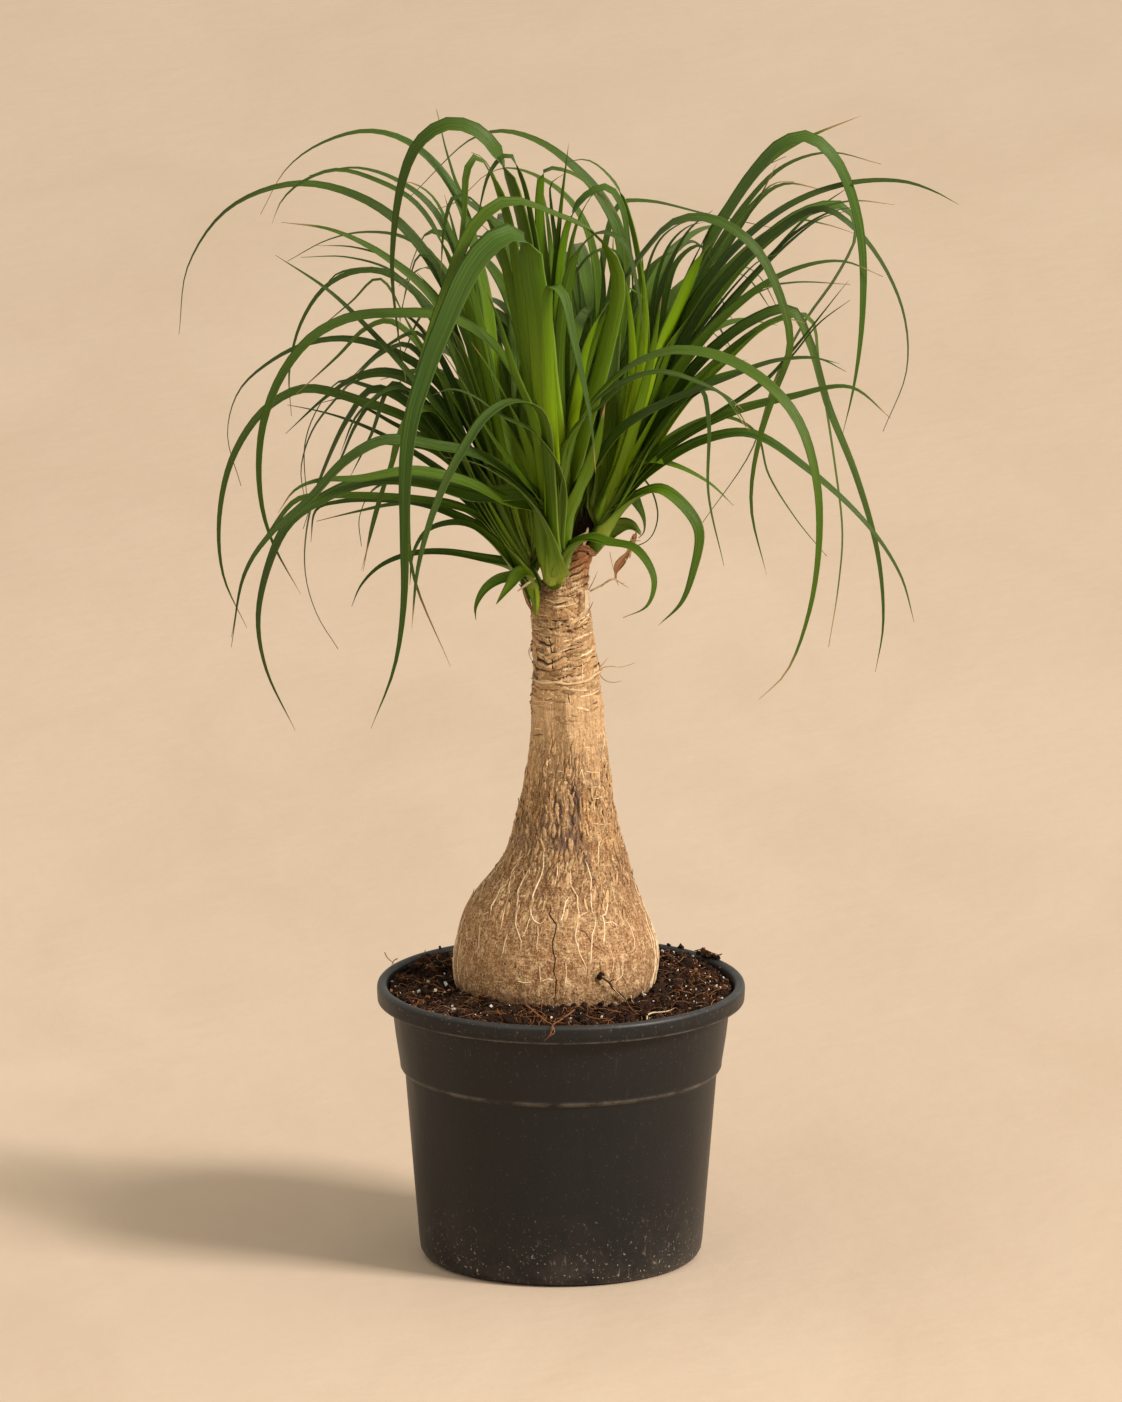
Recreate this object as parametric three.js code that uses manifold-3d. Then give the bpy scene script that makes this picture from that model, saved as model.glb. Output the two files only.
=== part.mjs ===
// A potted ponytail palm, 60 cm tall: a swollen woody trunk in a black nursery pot filled with
// peat and coir mix, with four heads of long strap leaves that rise, arch over and hang down.
// Millimetres, +Z up, origin at the middle of the pot's underside. The front of the plant faces -Y.

import * as THREE from 'three';
import { mergeVertices } from 'three/addons/utils/BufferGeometryUtils.js';
import Module from 'manifold-3d';

// Driving dimensions of the pot
const RIM_RADIUS = 95;
const POT_HEIGHT = 145;
const RIM_BAND_BOTTOM = 135.5;
const BAND_BOTTOM = 102.5;
const STEP_BOTTOM = 99;
const FOOT_RADIUS = 66;
const WALL = 1.5;
const FLOOR = 1.8;
const DRAIN_HOLES = 8;
const DRAIN_HOLE_RADIUS = 4.5;
const DRAIN_CIRCLE_RADIUS = 52;
const POT_SIDES = 40;

// Driving dimensions of the potting mix
const MIX_LEVEL = 141;
const MIX_MOUND = 4;
const MIX_LUMP = 1.1;
const MIX_RINGS = 7;

// Clearance between pieces that touch
const GAP = 0.35;

// The trunk from its buried foot to its top: height, how far its centre lies to the right, radius
const TRUNK_STATIONS = [
  [119, -3, 0],
  [119.5, -3, 26],
  [124, -3, 41],
  [133, -3, 48.5],
  [144, -3, 50.6],
  [156, -2.8, 52],
  [168, -2.1, 50.8],
  [177, -2.1, 48.7],
  [186, -2, 45.3],
  [195, -1.3, 40.4],
  [204, 1, 35.4],
  [212, 2.5, 31.9],
  [221, 3.1, 28.6],
  [239, 3.5, 24.4],
  [256, 3.4, 21.2],
  [274, 4, 19.4],
  [292, 3.5, 18.4],
  [310, 2.4, 17.7],
  [327, 1.5, 16.7],
  [341, 0.6, 16.3],
  [353, 1, 14.6],
  [359, 1.6, 10.5],
  [362, 2, 0],
];
const TRUNK_SIDES = 24;
const TRUNK_RINGS = 44;
const RIB_HEIGHT = 0.8;
const RIB_COUNT = 7;
const RIBS_FADE = [190, 225];
const SCAR_HEIGHT = 0.6;
const SCAR_SPACING = 15;
const SCARS_GROW = [225, 255];
const SCARS_FADE = [350, 358];
const SMOOTH_TIP_RADIUS = 12;

// The short neck that leans right at the top of the trunk: lower and upper end, and their radii
const NECK_FOOT = [3, 1, 343];
const NECK_TOP = [15.5, 4, 376];
const NECK_RADII = [11, 8.6, 6.6];
const NECK_CAP_HEIGHT = 2.5;
const NECK_CAP_SHARE = 0.55;
const NECK_SIDES = 12;

// The sight line along which the leaves were measured looks down by this angle
const SIGHT_ANGLE = THREE.MathUtils.degToRad(14);

// The heads: where each stands on the trunk, where its leaves part, and its radius
const HEADS = {
  front: { foot: [-2, -10, 349], heart: [-6, -19, 400], radius: 8 },
  left: { foot: [-12, 2, 350], heart: [-34, -2, 392], radius: 7.5 },
  right: { foot: [15, 3, 370], heart: [32, 1, 405], radius: 7.5 },
  back: { foot: [7, 9, 358], heart: [10, 24, 400], radius: 7 },
};
const STALK_SIDES = 8;
const STALK_SHARES = [0.72, 1, 1.02, 0.78, 0.3];
const ROOT_ALONG_STALK = 0.3;
const ROOT_SPREAD = 0.45;

// Blades: thickness at the keel, least size at the tip, and how many lengths a blade is made of
const KEEL_SHARE = 0.13;
const KEEL_LEAST = 0.9;
const TIP_WIDTH = 1.1;
const TIP_KEEL = 0.7;
const ROOT_WIDTH_SHARE = 0.35;
const FULL_WIDTH_FROM = 0.3;
const TAPER_POWER = 2.4;
const SPAN_LENGTH = 36;
const LEAST_SPANS = 4;
const FACE_TURN = 0.65;

// The leaves that show, head by head. Each has how far back its tip lies, its width, and the places
// it passes from root to tip, seen along the sight line, as pairs of across and up.
const LEAVES = {
  left: [
    [10, 9, [-38, 440, -60, 500, -90, 537, -132, 552, -170, 540, -192, 510, -197, 474]],
    [45, 8, [-33, 440, -40, 500, -56, 550, -78, 573, -100, 579, -125, 572, -142, 559, -155, 536]],
    [-8, 8, [-36, 440, -52, 500, -74, 541, -96, 554, -116, 559, -133, 553, -144, 543, -149, 531]],
    [25, 8, [-34, 440, -48, 500, -66, 539, -85, 554, -104, 560, -118, 559, -130, 556]],
    [0, 10, [-40, 430, -62, 488, -90, 514, -118, 528, -144, 532]],
    [60, 6, [-36, 430, -55, 500, -78, 523, -100, 527, -120, 523, -141, 512]],
    [-25, 7, [-44, 410, -80, 456, -100, 478, -120, 497, -147, 515]],
    [30, 7, [-42, 420, -62, 480, -88, 505, -104, 507, -121, 499, -134, 480, -140, 455, -139, 432]],
    [50, 6, [-44, 420, -66, 452, -90, 467, -112, 472, -132, 469, -150, 460, -166, 445, -172, 423, -165, 396]],
    [-5, 7, [-46, 410, -68, 462, -88, 481, -101, 477, -115, 463, -137, 443]],
    [35, 6, [-46, 410, -66, 455, -80, 469, -93, 464, -106, 452, -116, 441, -128, 425, -134, 405, -132, 388]],
    [15, 8, [-48, 400, -66, 444, -88, 455, -104, 453, -121, 442, -142, 423]],
    [0, 8, [-48, 395, -70, 425, -104, 440, -133, 446, -153, 435, -169, 411, -176, 380, -174, 350, -162, 323]],
    [25, 7, [-48, 400, -78, 438, -97, 446, -111, 432, -123, 406, -132, 377, -133, 352, -126, 330, -115, 312]],
    [-15, 6, [-46, 395, -68, 430, -86, 449, -98, 422, -109, 400]],
    [20, 7, [-40, 372, -55, 381, -72, 387, -92, 389, -114, 388, -126, 384, -129, 367]],
    [55, 5, [-42, 382, -62, 398, -82, 400, -97, 394, -104, 380, -103, 365]],
    [-22, 6, [-44, 400, -66, 436, -78, 432, -88, 405, -97, 378, -102, 352]],
    [-12, 7, [-36, 368, -47, 376, -58, 377, -69, 373, -76, 362, -78, 345]],
    [12, 5, [-26, 353, -40, 358, -60, 362, -78, 361, -93, 355, -103, 345, -108, 334]],
    [75, 8, [-34, 430, -46, 500, -58, 524, -68, 527, -76, 514, -85, 470]],
  ],
  front: [
    [-105, 15, [-8, 400, -10, 450, -15, 500, -19, 524, -30, 524, -44, 511, -58, 489, -71, 458, -79, 425,
      -81, 390, -80, 340, -86, 302, -98, 271]],
    [-80, 9, [10, 420, 24, 470, 29, 504, 18, 526, 0, 535, -28, 543, -45, 530, -58, 500, -70, 464, -78, 430,
      -79, 385, -76, 350, -57, 303]],
    [-130, 9, [-6, 400, -12, 436, -25, 440, -38, 433, -50, 416, -60, 397, -68, 376, -74, 352, -77, 321]],
    [-70, 8, [-10, 383, -22, 399, -42, 412, -64, 417, -90, 420, -110, 410, -130, 389, -150, 371, -163, 351,
      -170, 313]],
    [-55, 9, [-12, 383, -28, 388, -48, 398, -76, 404, -104, 400, -125, 399, -137, 394, -146, 382]],
    [-60, 11, [-8, 390, -22, 392, -44, 391, -70, 398, -98, 399, -122, 390, -140, 377, -150, 357, -156, 328,
      -152, 302, -137, 270]],
    [-90, 8, [0, 400, -14, 424, -30, 432, -46, 443, -57, 446, -68, 442]],
    [-45, 10, [-8, 415, -20, 445, -36, 470, -58, 483, -84, 485, -108, 483, -128, 473, -144, 453, -154, 425,
      -155, 392, -149, 368, -134, 340]],
    [-24, 12, [-8, 430, -14, 490, -22, 540, -34, 570, -46, 582, -60, 584, -74, 574, -83, 552, -88, 510,
      -85, 475, -80, 450]],
    [-60, 9, [-10, 420, -18, 470, -27, 532, -37, 558, -46, 569, -52, 561, -52, 535, -55, 505, -58, 480]],
    [-50, 9, [-10, 415, -22, 480, -34, 526, -46, 544, -55, 545, -60, 530, -62, 505]],
    [-25, 10, [-6, 430, -9, 480, -13, 525, -18, 557, -26, 570, -36, 560, -44, 530]],
    [-20, 12, [-4, 430, -7, 490, -11, 545, -8, 559, 4, 558, 16, 550, 30, 535]],
    [-24, 9, [-2, 430, -2, 480, 4, 532, 13, 546, 24, 550, 31, 541, 35, 520, 42, 480]],
    [-60, 9, [-1, 420, -1, 465, 3, 500, 10, 519, 20, 527, 32, 522, 39, 500, 43, 468]],
    [-95, 9, [-3, 420, -4, 470, -3, 505, 1, 498, 7, 470, 13, 443, 16, 425, 18, 402]],
    [-60, 10, [4, 420, 14, 465, 28, 494, 44, 518, 58, 532, 76, 534, 98, 521, 112, 496, 118, 468, 110, 444,
      101, 415, 98, 385, 106, 350]],
    [-95, 10, [0, 400, 10, 430, 26, 450, 42, 461, 60, 466, 84, 462, 106, 449, 122, 430, 131, 402, 133, 370,
      128, 332, 116, 300, 102, 286]],
    [-110, 7, [2, 400, 12, 432, 28, 448, 50, 455, 70, 450, 86, 441, 98, 424]],
    [-65, 11, [4, 384, 14, 402, 32, 426, 56, 440, 84, 451, 112, 461, 132, 462, 147, 455]],
    [-60, 7, [-1, 354, 8, 366, 24, 366, 38, 364, 46, 354, 48, 345, 44, 334, 32, 328]],
    [-35, 6, [-2, 430, 0, 470, 8, 506, 18, 517, 28, 517, 35, 495]],
  ],
  right: [
    [15, 13, [40, 440, 52, 480, 72, 525, 94, 559, 112, 575, 127, 577, 140, 567, 149, 548, 155, 520, 155, 480,
      151, 448, 145, 422]],
    [40, 8, [44, 440, 62, 490, 86, 536, 106, 562, 126, 575, 155, 587]],
    [60, 6, [44, 440, 70, 500, 95, 541, 115, 561, 138, 568, 165, 562]],
    [-5, 11, [42, 430, 62, 480, 88, 517, 118, 541, 148, 552, 176, 553, 192, 548, 205, 541]],
    [70, 11, [42, 440, 66, 488, 92, 531, 107, 548, 117, 552, 137, 548]],
    [30, 9, [44, 430, 70, 480, 100, 518, 128, 538, 146, 540, 152, 527, 143, 506, 125, 480, 110, 450, 98, 414,
      73, 377]],
    [5, 8, [44, 430, 76, 492, 108, 525, 134, 539, 150, 530, 166, 510, 177, 483, 178, 455, 166, 424]],
    [-10, 11, [42, 420, 62, 458, 88, 487, 116, 506, 144, 512, 166, 504]],
    [0, 10, [42, 415, 70, 458, 98, 481, 118, 487, 128, 470, 137, 439, 152, 401, 163, 362, 166, 325, 162, 300]],
    [25, 5, [44, 420, 80, 460, 112, 482, 128, 483, 133, 458, 141, 408, 145, 372, 143, 345, 138, 313]],
    [-20, 8, [36, 400, 56, 422, 84, 436, 118, 443, 149, 448, 170, 431]],
    [-30, 8, [36, 393, 52, 408, 74, 420, 98, 423, 128, 404, 158, 376, 175, 350, 182, 326]],
    [-12, 6, [34, 400, 44, 409, 58, 407, 76, 398, 89, 386]],
    [-18, 9, [32, 385, 42, 393, 53, 396, 66, 387, 74, 373, 70, 352, 64, 336, 50, 324]],
    [5, 6, [32, 383, 38, 390, 42, 383, 42, 374]],
    [40, 9, [42, 440, 46, 480, 45, 515, 38, 542, 26, 559, 10, 568, 2, 565]],
    [20, 5, [44, 440, 68, 490, 90, 525, 104, 548, 111, 562]],
    [-10, 10, [34, 420, 37, 460, 35, 490, 32, 508]],
    [-16, 9, [34, 420, 42, 465, 43, 495, 40, 516]],
    [-20, 9, [36, 420, 46, 460, 52, 495]],
    [35, 9, [40, 430, 50, 475, 60, 512, 72, 520, 80, 508]],
  ],
  back: [
    [50, 10, [18, 430, 30, 480, 31, 522, 20, 546, 4, 563, -12, 574, -30, 579, -46, 575, -78, 545]],
    [70, 7, [16, 430, 20, 490, 12, 532, -4, 551, -26, 560, -38, 557, -48, 548]],
    [85, 5, [16, 430, 20, 500, 30, 541, 44, 543, 76, 536, 110, 529]],
    [35, 6, [12, 430, -20, 520, -50, 545, -58, 565, -64, 590]],
  ],
};

// The leaves that the others hide, placed by rule: how many a head has, and the directions in degrees
// between which they fan out, counted from +X towards +Y. The front head's leaves all show.
const HIDDEN_LEAVES = {
  left: { count: 13, from: 119, to: 169 },
  front: { count: 0, from: 0, to: 0 },
  right: { count: 12, from: 15, to: 59 },
  back: { count: 20, from: 63, to: 115 },
};
const HIDDEN_SEED = 4817;
const HIDDEN_RISE = [58, 86];
const HIDDEN_FALL = [20, 78];
const HIDDEN_LENGTH = [180, 285];
const HIDDEN_WIDTH = [7, 12];
const HIDDEN_BEND_POWER = 1.7;
const HIDDEN_STEPS = 6;

// The side shoot low on the left and the dried leaf on the right, as seen along the sight line
const SHOOT_FOOT = [-10, -9, 342];
const SHOOT_HEART = [-18, -14, 357];
const SHOOT_RADIUS = 4;
const SHOOT_LEAVES = [
  [-14, 5, [-28, 348, -36, 346, -43, 340, -45.5, 333, -43, 327]],
  [-20, 6, [-23, 344, -34, 335]],
  [-26, 5, [-20, 338, -24, 331]],
];
const DRY_LEAF_ROOT = [12, -9, 354];
const DRY_LEAVES = [
  [-20, 3.5, [22, 346, 28, 349, 33, 346, 44, 345]],
  [-24, 4.5, [22, 346, 28, 349, 31, 355, 35, 362, 38, 372]],
];

const wasm = await Module();
wasm.setup();

/** A closed geometry becomes a solid that can be joined and cut. */
function solidFrom(geometry) {
  const plain = geometry.clone();
  plain.deleteAttribute('normal');
  plain.deleteAttribute('uv');
  const merged = mergeVertices(plain, 1e-4);
  const corners = merged.index.array;
  const faces = [];
  for (let i = 0; i < corners.length; i += 3) {
    const [a, b, c] = corners.slice(i, i + 3);
    if (a !== b && b !== c && c !== a) {
      faces.push(a, b, c);
    }
  }
  return new wasm.Manifold(new wasm.Mesh({
    numProp: 3,
    vertProperties: Float32Array.from(merged.attributes.position.array),
    triVerts: Uint32Array.from(faces),
  }));
}

/** A finished solid becomes a named mesh. */
function meshFrom(solid, name, material) {
  const { vertProperties, triVerts } = solid.getMesh();
  const geometry = new THREE.BufferGeometry();
  geometry.setAttribute('position', new THREE.BufferAttribute(Float32Array.from(vertProperties), 3));
  geometry.setIndex(new THREE.BufferAttribute(Uint32Array.from(triVerts), 1));
  geometry.computeVertexNormals();
  const mesh = new THREE.Mesh(geometry, material);
  mesh.name = name;
  return mesh;
}

/** The largest body of a solid, with any hollow in it filled. */
function largestBody(solid) {
  const bodies = solid.decompose();
  bodies.sort((one, other) => other.volume() - one.volume());
  return bodies[0];
}

/** Rings of equally many points, joined in order and closed at both ends, become a geometry. */
function skinOfRings(rings) {
  const sides = rings[0].length;
  const positions = rings.flat().flatMap((point) => point.toArray());
  const faces = [];
  for (let ring = 0; ring + 1 < rings.length; ring += 1) {
    for (let side = 0; side < sides; side += 1) {
      const a = ring * sides + side;
      const b = ring * sides + ((side + 1) % sides);
      faces.push(a, b, b + sides, a, b + sides, a + sides);
    }
  }
  const last = (rings.length - 1) * sides;
  for (let side = 1; side + 1 < sides; side += 1) {
    faces.push(0, side + 1, side);
    faces.push(last, last + side, last + side + 1);
  }
  const geometry = new THREE.BufferGeometry();
  geometry.setAttribute('position', new THREE.Float32BufferAttribute(positions, 3));
  geometry.setIndex(faces);
  return geometry;
}

/** A lathe turned about Z, with the profile given as pairs of radius and height. */
function turned(profile, sides) {
  const points = profile.map(([radius, height]) => new THREE.Vector2(radius, height));
  return new THREE.LatheGeometry(points, sides).rotateX(Math.PI / 2);
}

/** The pot: one thin turned wall with a rolled rim and a stepped band, and drain holes in its floor. */
const OUTER_WALL = [
  [FOOT_RADIUS, 0],
  [70.6, 2.4],
  [73.1, 9.6],
  [80.6, STEP_BOTTOM],
  [82.9, BAND_BOTTOM],
  [84.9, 114],
  [86.3, 127],
  [87.3, RIM_BAND_BOTTOM],
];
const RIM_ROLL = [
  [RIM_RADIUS - 1.2, RIM_BAND_BOTTOM],
  [RIM_RADIUS - 0.2, RIM_BAND_BOTTOM + 1.6],
  [RIM_RADIUS, RIM_BAND_BOTTOM + 4.5],
  [RIM_RADIUS - 0.6, POT_HEIGHT - 1.8],
  [RIM_RADIUS - 2.2, POT_HEIGHT],
  [RIM_RADIUS - 4.2, POT_HEIGHT - 0.3],
  [RIM_RADIUS - 5.7, POT_HEIGHT - 2],
];
const INNER_WALL = OUTER_WALL.slice(1).map(([radius, height]) => [radius - WALL, Math.max(height, FLOOR)]);

function makePot() {
  const inside = [...INNER_WALL].reverse();
  inside[inside.length - 1] = [FOOT_RADIUS + 1, FLOOR];
  const shell = solidFrom(turned([[0, 0], ...OUTER_WALL, ...RIM_ROLL, ...inside, [0, FLOOR]], POT_SIDES));
  const drill = new THREE.CylinderGeometry(DRAIN_HOLE_RADIUS, DRAIN_HOLE_RADIUS, 4 * FLOOR, 12);
  drill.rotateX(Math.PI / 2);
  let pot = shell;
  for (let hole = 0; hole < DRAIN_HOLES; hole += 1) {
    const turn = (2 * Math.PI * (hole + 0.5)) / DRAIN_HOLES;
    const placed = drill.clone();
    placed.translate(DRAIN_CIRCLE_RADIUS * Math.cos(turn), DRAIN_CIRCLE_RADIUS * Math.sin(turn), 0);
    pot = pot.subtract(solidFrom(placed));
  }
  return pot;
}

/** The height of the potting mix: a low mound round the trunk, with lumps as two crossed waves. */
function mixHeight(x, y) {
  const out = Math.hypot(x, y) / RIM_RADIUS;
  const mound = MIX_MOUND * (1 - THREE.MathUtils.smoothstep(out, 0.5, 0.95));
  const lumps = Math.sin(0.21 * x + 0.9 * Math.sin(0.13 * y)) * Math.cos(0.19 * y - 0.11 * x);
  return MIX_LEVEL + mound + MIX_LUMP * lumps;
}

/** The potting mix: it fills the pot, and its top is raised by mixHeight. */
function makeMix() {
  const rimInside = [RIM_RADIUS - 7.4, POT_HEIGHT - 4.8];
  const side = [...INNER_WALL.slice(1), rimInside].map(([radius, height]) => [radius - GAP, height + GAP]);
  const profile = [[0, FLOOR + GAP], [FOOT_RADIUS, FLOOR + GAP], ...side];
  const edge = rimInside[0] - 2 * GAP;
  for (let ring = 0; ring <= MIX_RINGS; ring += 1) {
    profile.push([edge * (1 - ring / MIX_RINGS), POT_HEIGHT]);
  }
  const geometry = turned(profile, POT_SIDES);
  const position = geometry.attributes.position;
  for (let i = 0; i < position.count; i += 1) {
    if (position.getZ(i) > POT_HEIGHT - 0.5) {
      position.setZ(i, mixHeight(position.getX(i), position.getY(i)));
    }
  }
  return solidFrom(geometry);
}

/** How far the trunk's centre lies to the right at a height, between the stations. */
function trunkCentre(height) {
  const above = TRUNK_STATIONS.findIndex(([stationHeight]) => stationHeight > height);
  if (above <= 0) {
    return TRUNK_STATIONS.at(height < TRUNK_STATIONS[0][0] ? 0 : -1)[1];
  }
  const [low, lowShift] = TRUNK_STATIONS[above - 1];
  const [high, highShift] = TRUNK_STATIONS[above];
  return THREE.MathUtils.mapLinear(height, low, high, lowShift, highShift);
}

/** The trunk: a turned form with shallow ribs on the bulb and ring scars on the stem, and its neck. */
function makeTrunk(growth) {
  const outline = new THREE.SplineCurve(
    TRUNK_STATIONS.map(([height, , radius]) => new THREE.Vector2(radius, height)),
  );
  const profile = outline.getSpacedPoints(TRUNK_RINGS).map(({ x, y }) => [Math.max(x, 0), y]);
  profile[0][0] = 0;
  profile[TRUNK_RINGS][0] = 0;
  const geometry = turned(profile, TRUNK_SIDES);
  const position = geometry.attributes.position;
  const point = new THREE.Vector3();
  for (let i = 0; i < position.count; i += 1) {
    point.fromBufferAttribute(position, i);
    const height = point.z;
    const radius = Math.hypot(point.x, point.y);
    const angle = Math.atan2(point.y, point.x);
    const bulb = 1 - THREE.MathUtils.smoothstep(height, ...RIBS_FADE);
    const stem = THREE.MathUtils.smoothstep(height, ...SCARS_GROW)
      * (1 - THREE.MathUtils.smoothstep(height, ...SCARS_FADE));
    const ribs = RIB_HEIGHT * bulb * Math.sin(RIB_COUNT * angle + 0.02 * height);
    const scars = SCAR_HEIGHT * stem * Math.sin((2 * Math.PI * height) / SCAR_SPACING + Math.sin(angle));
    const relief = radius > SMOOTH_TIP_RADIUS ? ribs + scars : 0;
    const onAxis = radius < 0.01;
    const share = onAxis ? 1 : (radius + relief + growth) / radius;
    const topLift = onAxis && height > TRUNK_STATIONS[1][0] ? growth : 0;
    position.setXYZ(i, point.x * share + trunkCentre(height), point.y * share, height + topLift);
  }
  return solidFrom(geometry).add(makeNeck(growth));
}

/** The neck: a short stack of rings from the trunk's top up to the right, with a rounded end. */
function makeNeck(growth) {
  const foot = new THREE.Vector3(...NECK_FOOT);
  const top = new THREE.Vector3(...NECK_TOP);
  const axis = top.clone().sub(foot).normalize();
  const rings = NECK_RADII.map((radius, i) => (
    ringRound(foot.clone().lerp(top, i / (NECK_RADII.length - 1)), axis, radius + growth, NECK_SIDES)
  ));
  const cap = top.clone().addScaledVector(axis, NECK_CAP_HEIGHT + growth);
  rings.push(ringRound(cap, axis, NECK_CAP_SHARE * NECK_RADII.at(-1) + growth, NECK_SIDES));
  return solidFrom(skinOfRings(rings));
}

/** Points on a circle round a centre, square to an axis. */
function ringRound(centre, axis, radius, sides) {
  const across = new THREE.Vector3(0, 1, 0).cross(axis).normalize();
  const along = axis.clone().cross(across);
  return Array.from({ length: sides }, (_, side) => {
    const turn = (2 * Math.PI * side) / sides;
    return centre.clone()
      .addScaledVector(across, radius * Math.cos(turn))
      .addScaledVector(along, radius * Math.sin(turn));
  });
}

/** The stalk of clasping leaf bases that a head's leaves grow from, swollen low and pointed on top. */
function makeStalk(foot, heart, radius) {
  const low = new THREE.Vector3(...foot);
  const high = new THREE.Vector3(...heart);
  const axis = high.clone().sub(low).normalize();
  const rings = STALK_SHARES.map((share, i) => (
    ringRound(low.clone().lerp(high, i / (STALK_SHARES.length - 1)), axis, share * radius, STALK_SIDES)
  ));
  return solidFrom(skinOfRings(rings));
}

/** A place seen along the sight line, at a depth, in the plant's own frame. */
function placeSeen(across, up, depth) {
  return new THREE.Vector3(across, depth, (up - depth * Math.sin(SIGHT_ANGLE)) / Math.cos(SIGHT_ANGLE));
}

/** The points of a leaf that shows: its depth grows as a quarter sine of the length run so far. */
function seenLeafPoints(root, [tipDepth, , seen]) {
  const flatRoot = [root.x, root.z * Math.cos(SIGHT_ANGLE) + root.y * Math.sin(SIGHT_ANGLE)];
  const flat = [flatRoot];
  for (let i = 0; i < seen.length; i += 2) {
    flat.push([seen[i], seen[i + 1]]);
  }
  const runs = [0];
  for (let i = 1; i < flat.length; i += 1) {
    runs.push(runs[i - 1] + Math.hypot(flat[i][0] - flat[i - 1][0], flat[i][1] - flat[i - 1][1]));
  }
  return flat.map(([across, up], i) => {
    const share = Math.sin((Math.PI / 2) * (runs[i] / runs.at(-1)));
    return placeSeen(across, up, root.y + (tipDepth - root.y) * share);
  });
}

/** Seeded draws between 0 and 1, each from the one before. */
function drawer(seed) {
  let state = seed;
  return () => {
    state = (state * 16807) % 2147483647;
    return state / 2147483647;
  };
}

/** The points of a hidden leaf: it leaves its root at a steep angle and bends over as it runs out. */
function hiddenLeafPoints(root, direction, rise, fall, length) {
  const points = [root.clone()];
  const stepLength = length / HIDDEN_STEPS;
  for (let step = 1; step <= HIDDEN_STEPS; step += 1) {
    const run = (step - 0.5) / HIDDEN_STEPS;
    const slope = rise - (rise + fall) * run ** HIDDEN_BEND_POWER;
    const reach = stepLength * Math.cos(slope);
    const stride = new THREE.Vector3(
      reach * Math.cos(direction),
      reach * Math.sin(direction),
      stepLength * Math.sin(slope),
    );
    points.push(points[step - 1].clone().add(stride));
  }
  return points;
}

/**
 * A blade: three corners, two at the edges and one at the keel under the middle, carried along a
 * curve through the points. Its upper face turns away from the head, and a blade that runs sideways
 * also turns that face to the front.
 */
function makeBlade(points, width) {
  const curve = new THREE.CatmullRomCurve3(points, false, 'centripetal');
  const length = curve.getLength();
  const spans = Math.max(LEAST_SPANS, Math.round(length / SPAN_LENGTH));
  const out = points.at(-1).clone().sub(points[0]).setZ(0).normalize();
  const square = new THREE.Vector3(-out.y, out.x, 0);
  const turn = FACE_TURN * square.y;
  const rings = [];
  for (let span = 0; span <= spans; span += 1) {
    const share = span / spans;
    const centre = curve.getPoint(share);
    const along = curve.getTangent(share);
    const side = square.clone().addScaledVector(along, -square.dot(along)).normalize();
    const face = along.clone().cross(side);
    const edge = side.clone().multiplyScalar(Math.cos(turn)).addScaledVector(face, Math.sin(turn));
    const under = face.clone().multiplyScalar(-Math.cos(turn)).addScaledVector(side, Math.sin(turn));
    const opening = THREE.MathUtils.lerp(ROOT_WIDTH_SHARE, 1, Math.min(share / FULL_WIDTH_FROM, 1));
    const full = Math.max(width * opening * (1 - share ** TAPER_POWER), TIP_WIDTH);
    const keel = Math.max(KEEL_SHARE * full, share < 1 ? KEEL_LEAST : TIP_KEEL);
    rings.push([
      centre.clone().addScaledVector(edge, full / 2),
      centre.clone().addScaledVector(edge, -full / 2),
      centre.clone().addScaledVector(under, keel),
    ]);
  }
  return solidFrom(skinOfRings(rings));
}

/** Where a leaf starts: inside the stalk, a little towards the side that the leaf goes to. */
function leafRoot({ foot, heart, radius }, direction) {
  const root = new THREE.Vector3(...foot).lerp(new THREE.Vector3(...heart), ROOT_ALONG_STALK);
  root.x += ROOT_SPREAD * radius * Math.cos(direction);
  root.y += ROOT_SPREAD * radius * Math.sin(direction);
  return root;
}

/** The blades of a head's leaves that show. */
function seenBlades(head, leaves) {
  return leaves.map((leaf) => {
    const [tipDepth, width, seen] = leaf;
    const direction = Math.atan2(tipDepth - head.foot[1], seen.at(-2) - head.foot[0]);
    return makeBlade(seenLeafPoints(leafRoot(head, direction), leaf), width);
  });
}

/** The blades of a head's hidden leaves, fanned out evenly with seeded differences. */
function hiddenBlades(head, { count, from, to }, draw) {
  const between = ([low, high]) => THREE.MathUtils.lerp(low, high, draw());
  return Array.from({ length: count }, (_, i) => {
    const share = (i + between([0.2, 0.8])) / count;
    const direction = THREE.MathUtils.degToRad(THREE.MathUtils.lerp(from, to, share));
    const rise = THREE.MathUtils.degToRad(between(HIDDEN_RISE));
    const fall = THREE.MathUtils.degToRad(between(HIDDEN_FALL));
    const length = between(HIDDEN_LENGTH);
    const width = between(HIDDEN_WIDTH);
    return makeBlade(hiddenLeafPoints(leafRoot(head, direction), direction, rise, fall, length), width);
  });
}

/** A head: its stalk and all its blades joined, cut clear of the trunk it stands on. */
function makeHead(stalk, blades, trunkWithGap) {
  const joined = wasm.Manifold.union([stalk, ...blades]);
  return largestBody(joined.subtract(trunkWithGap).simplify(0.01));
}

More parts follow.
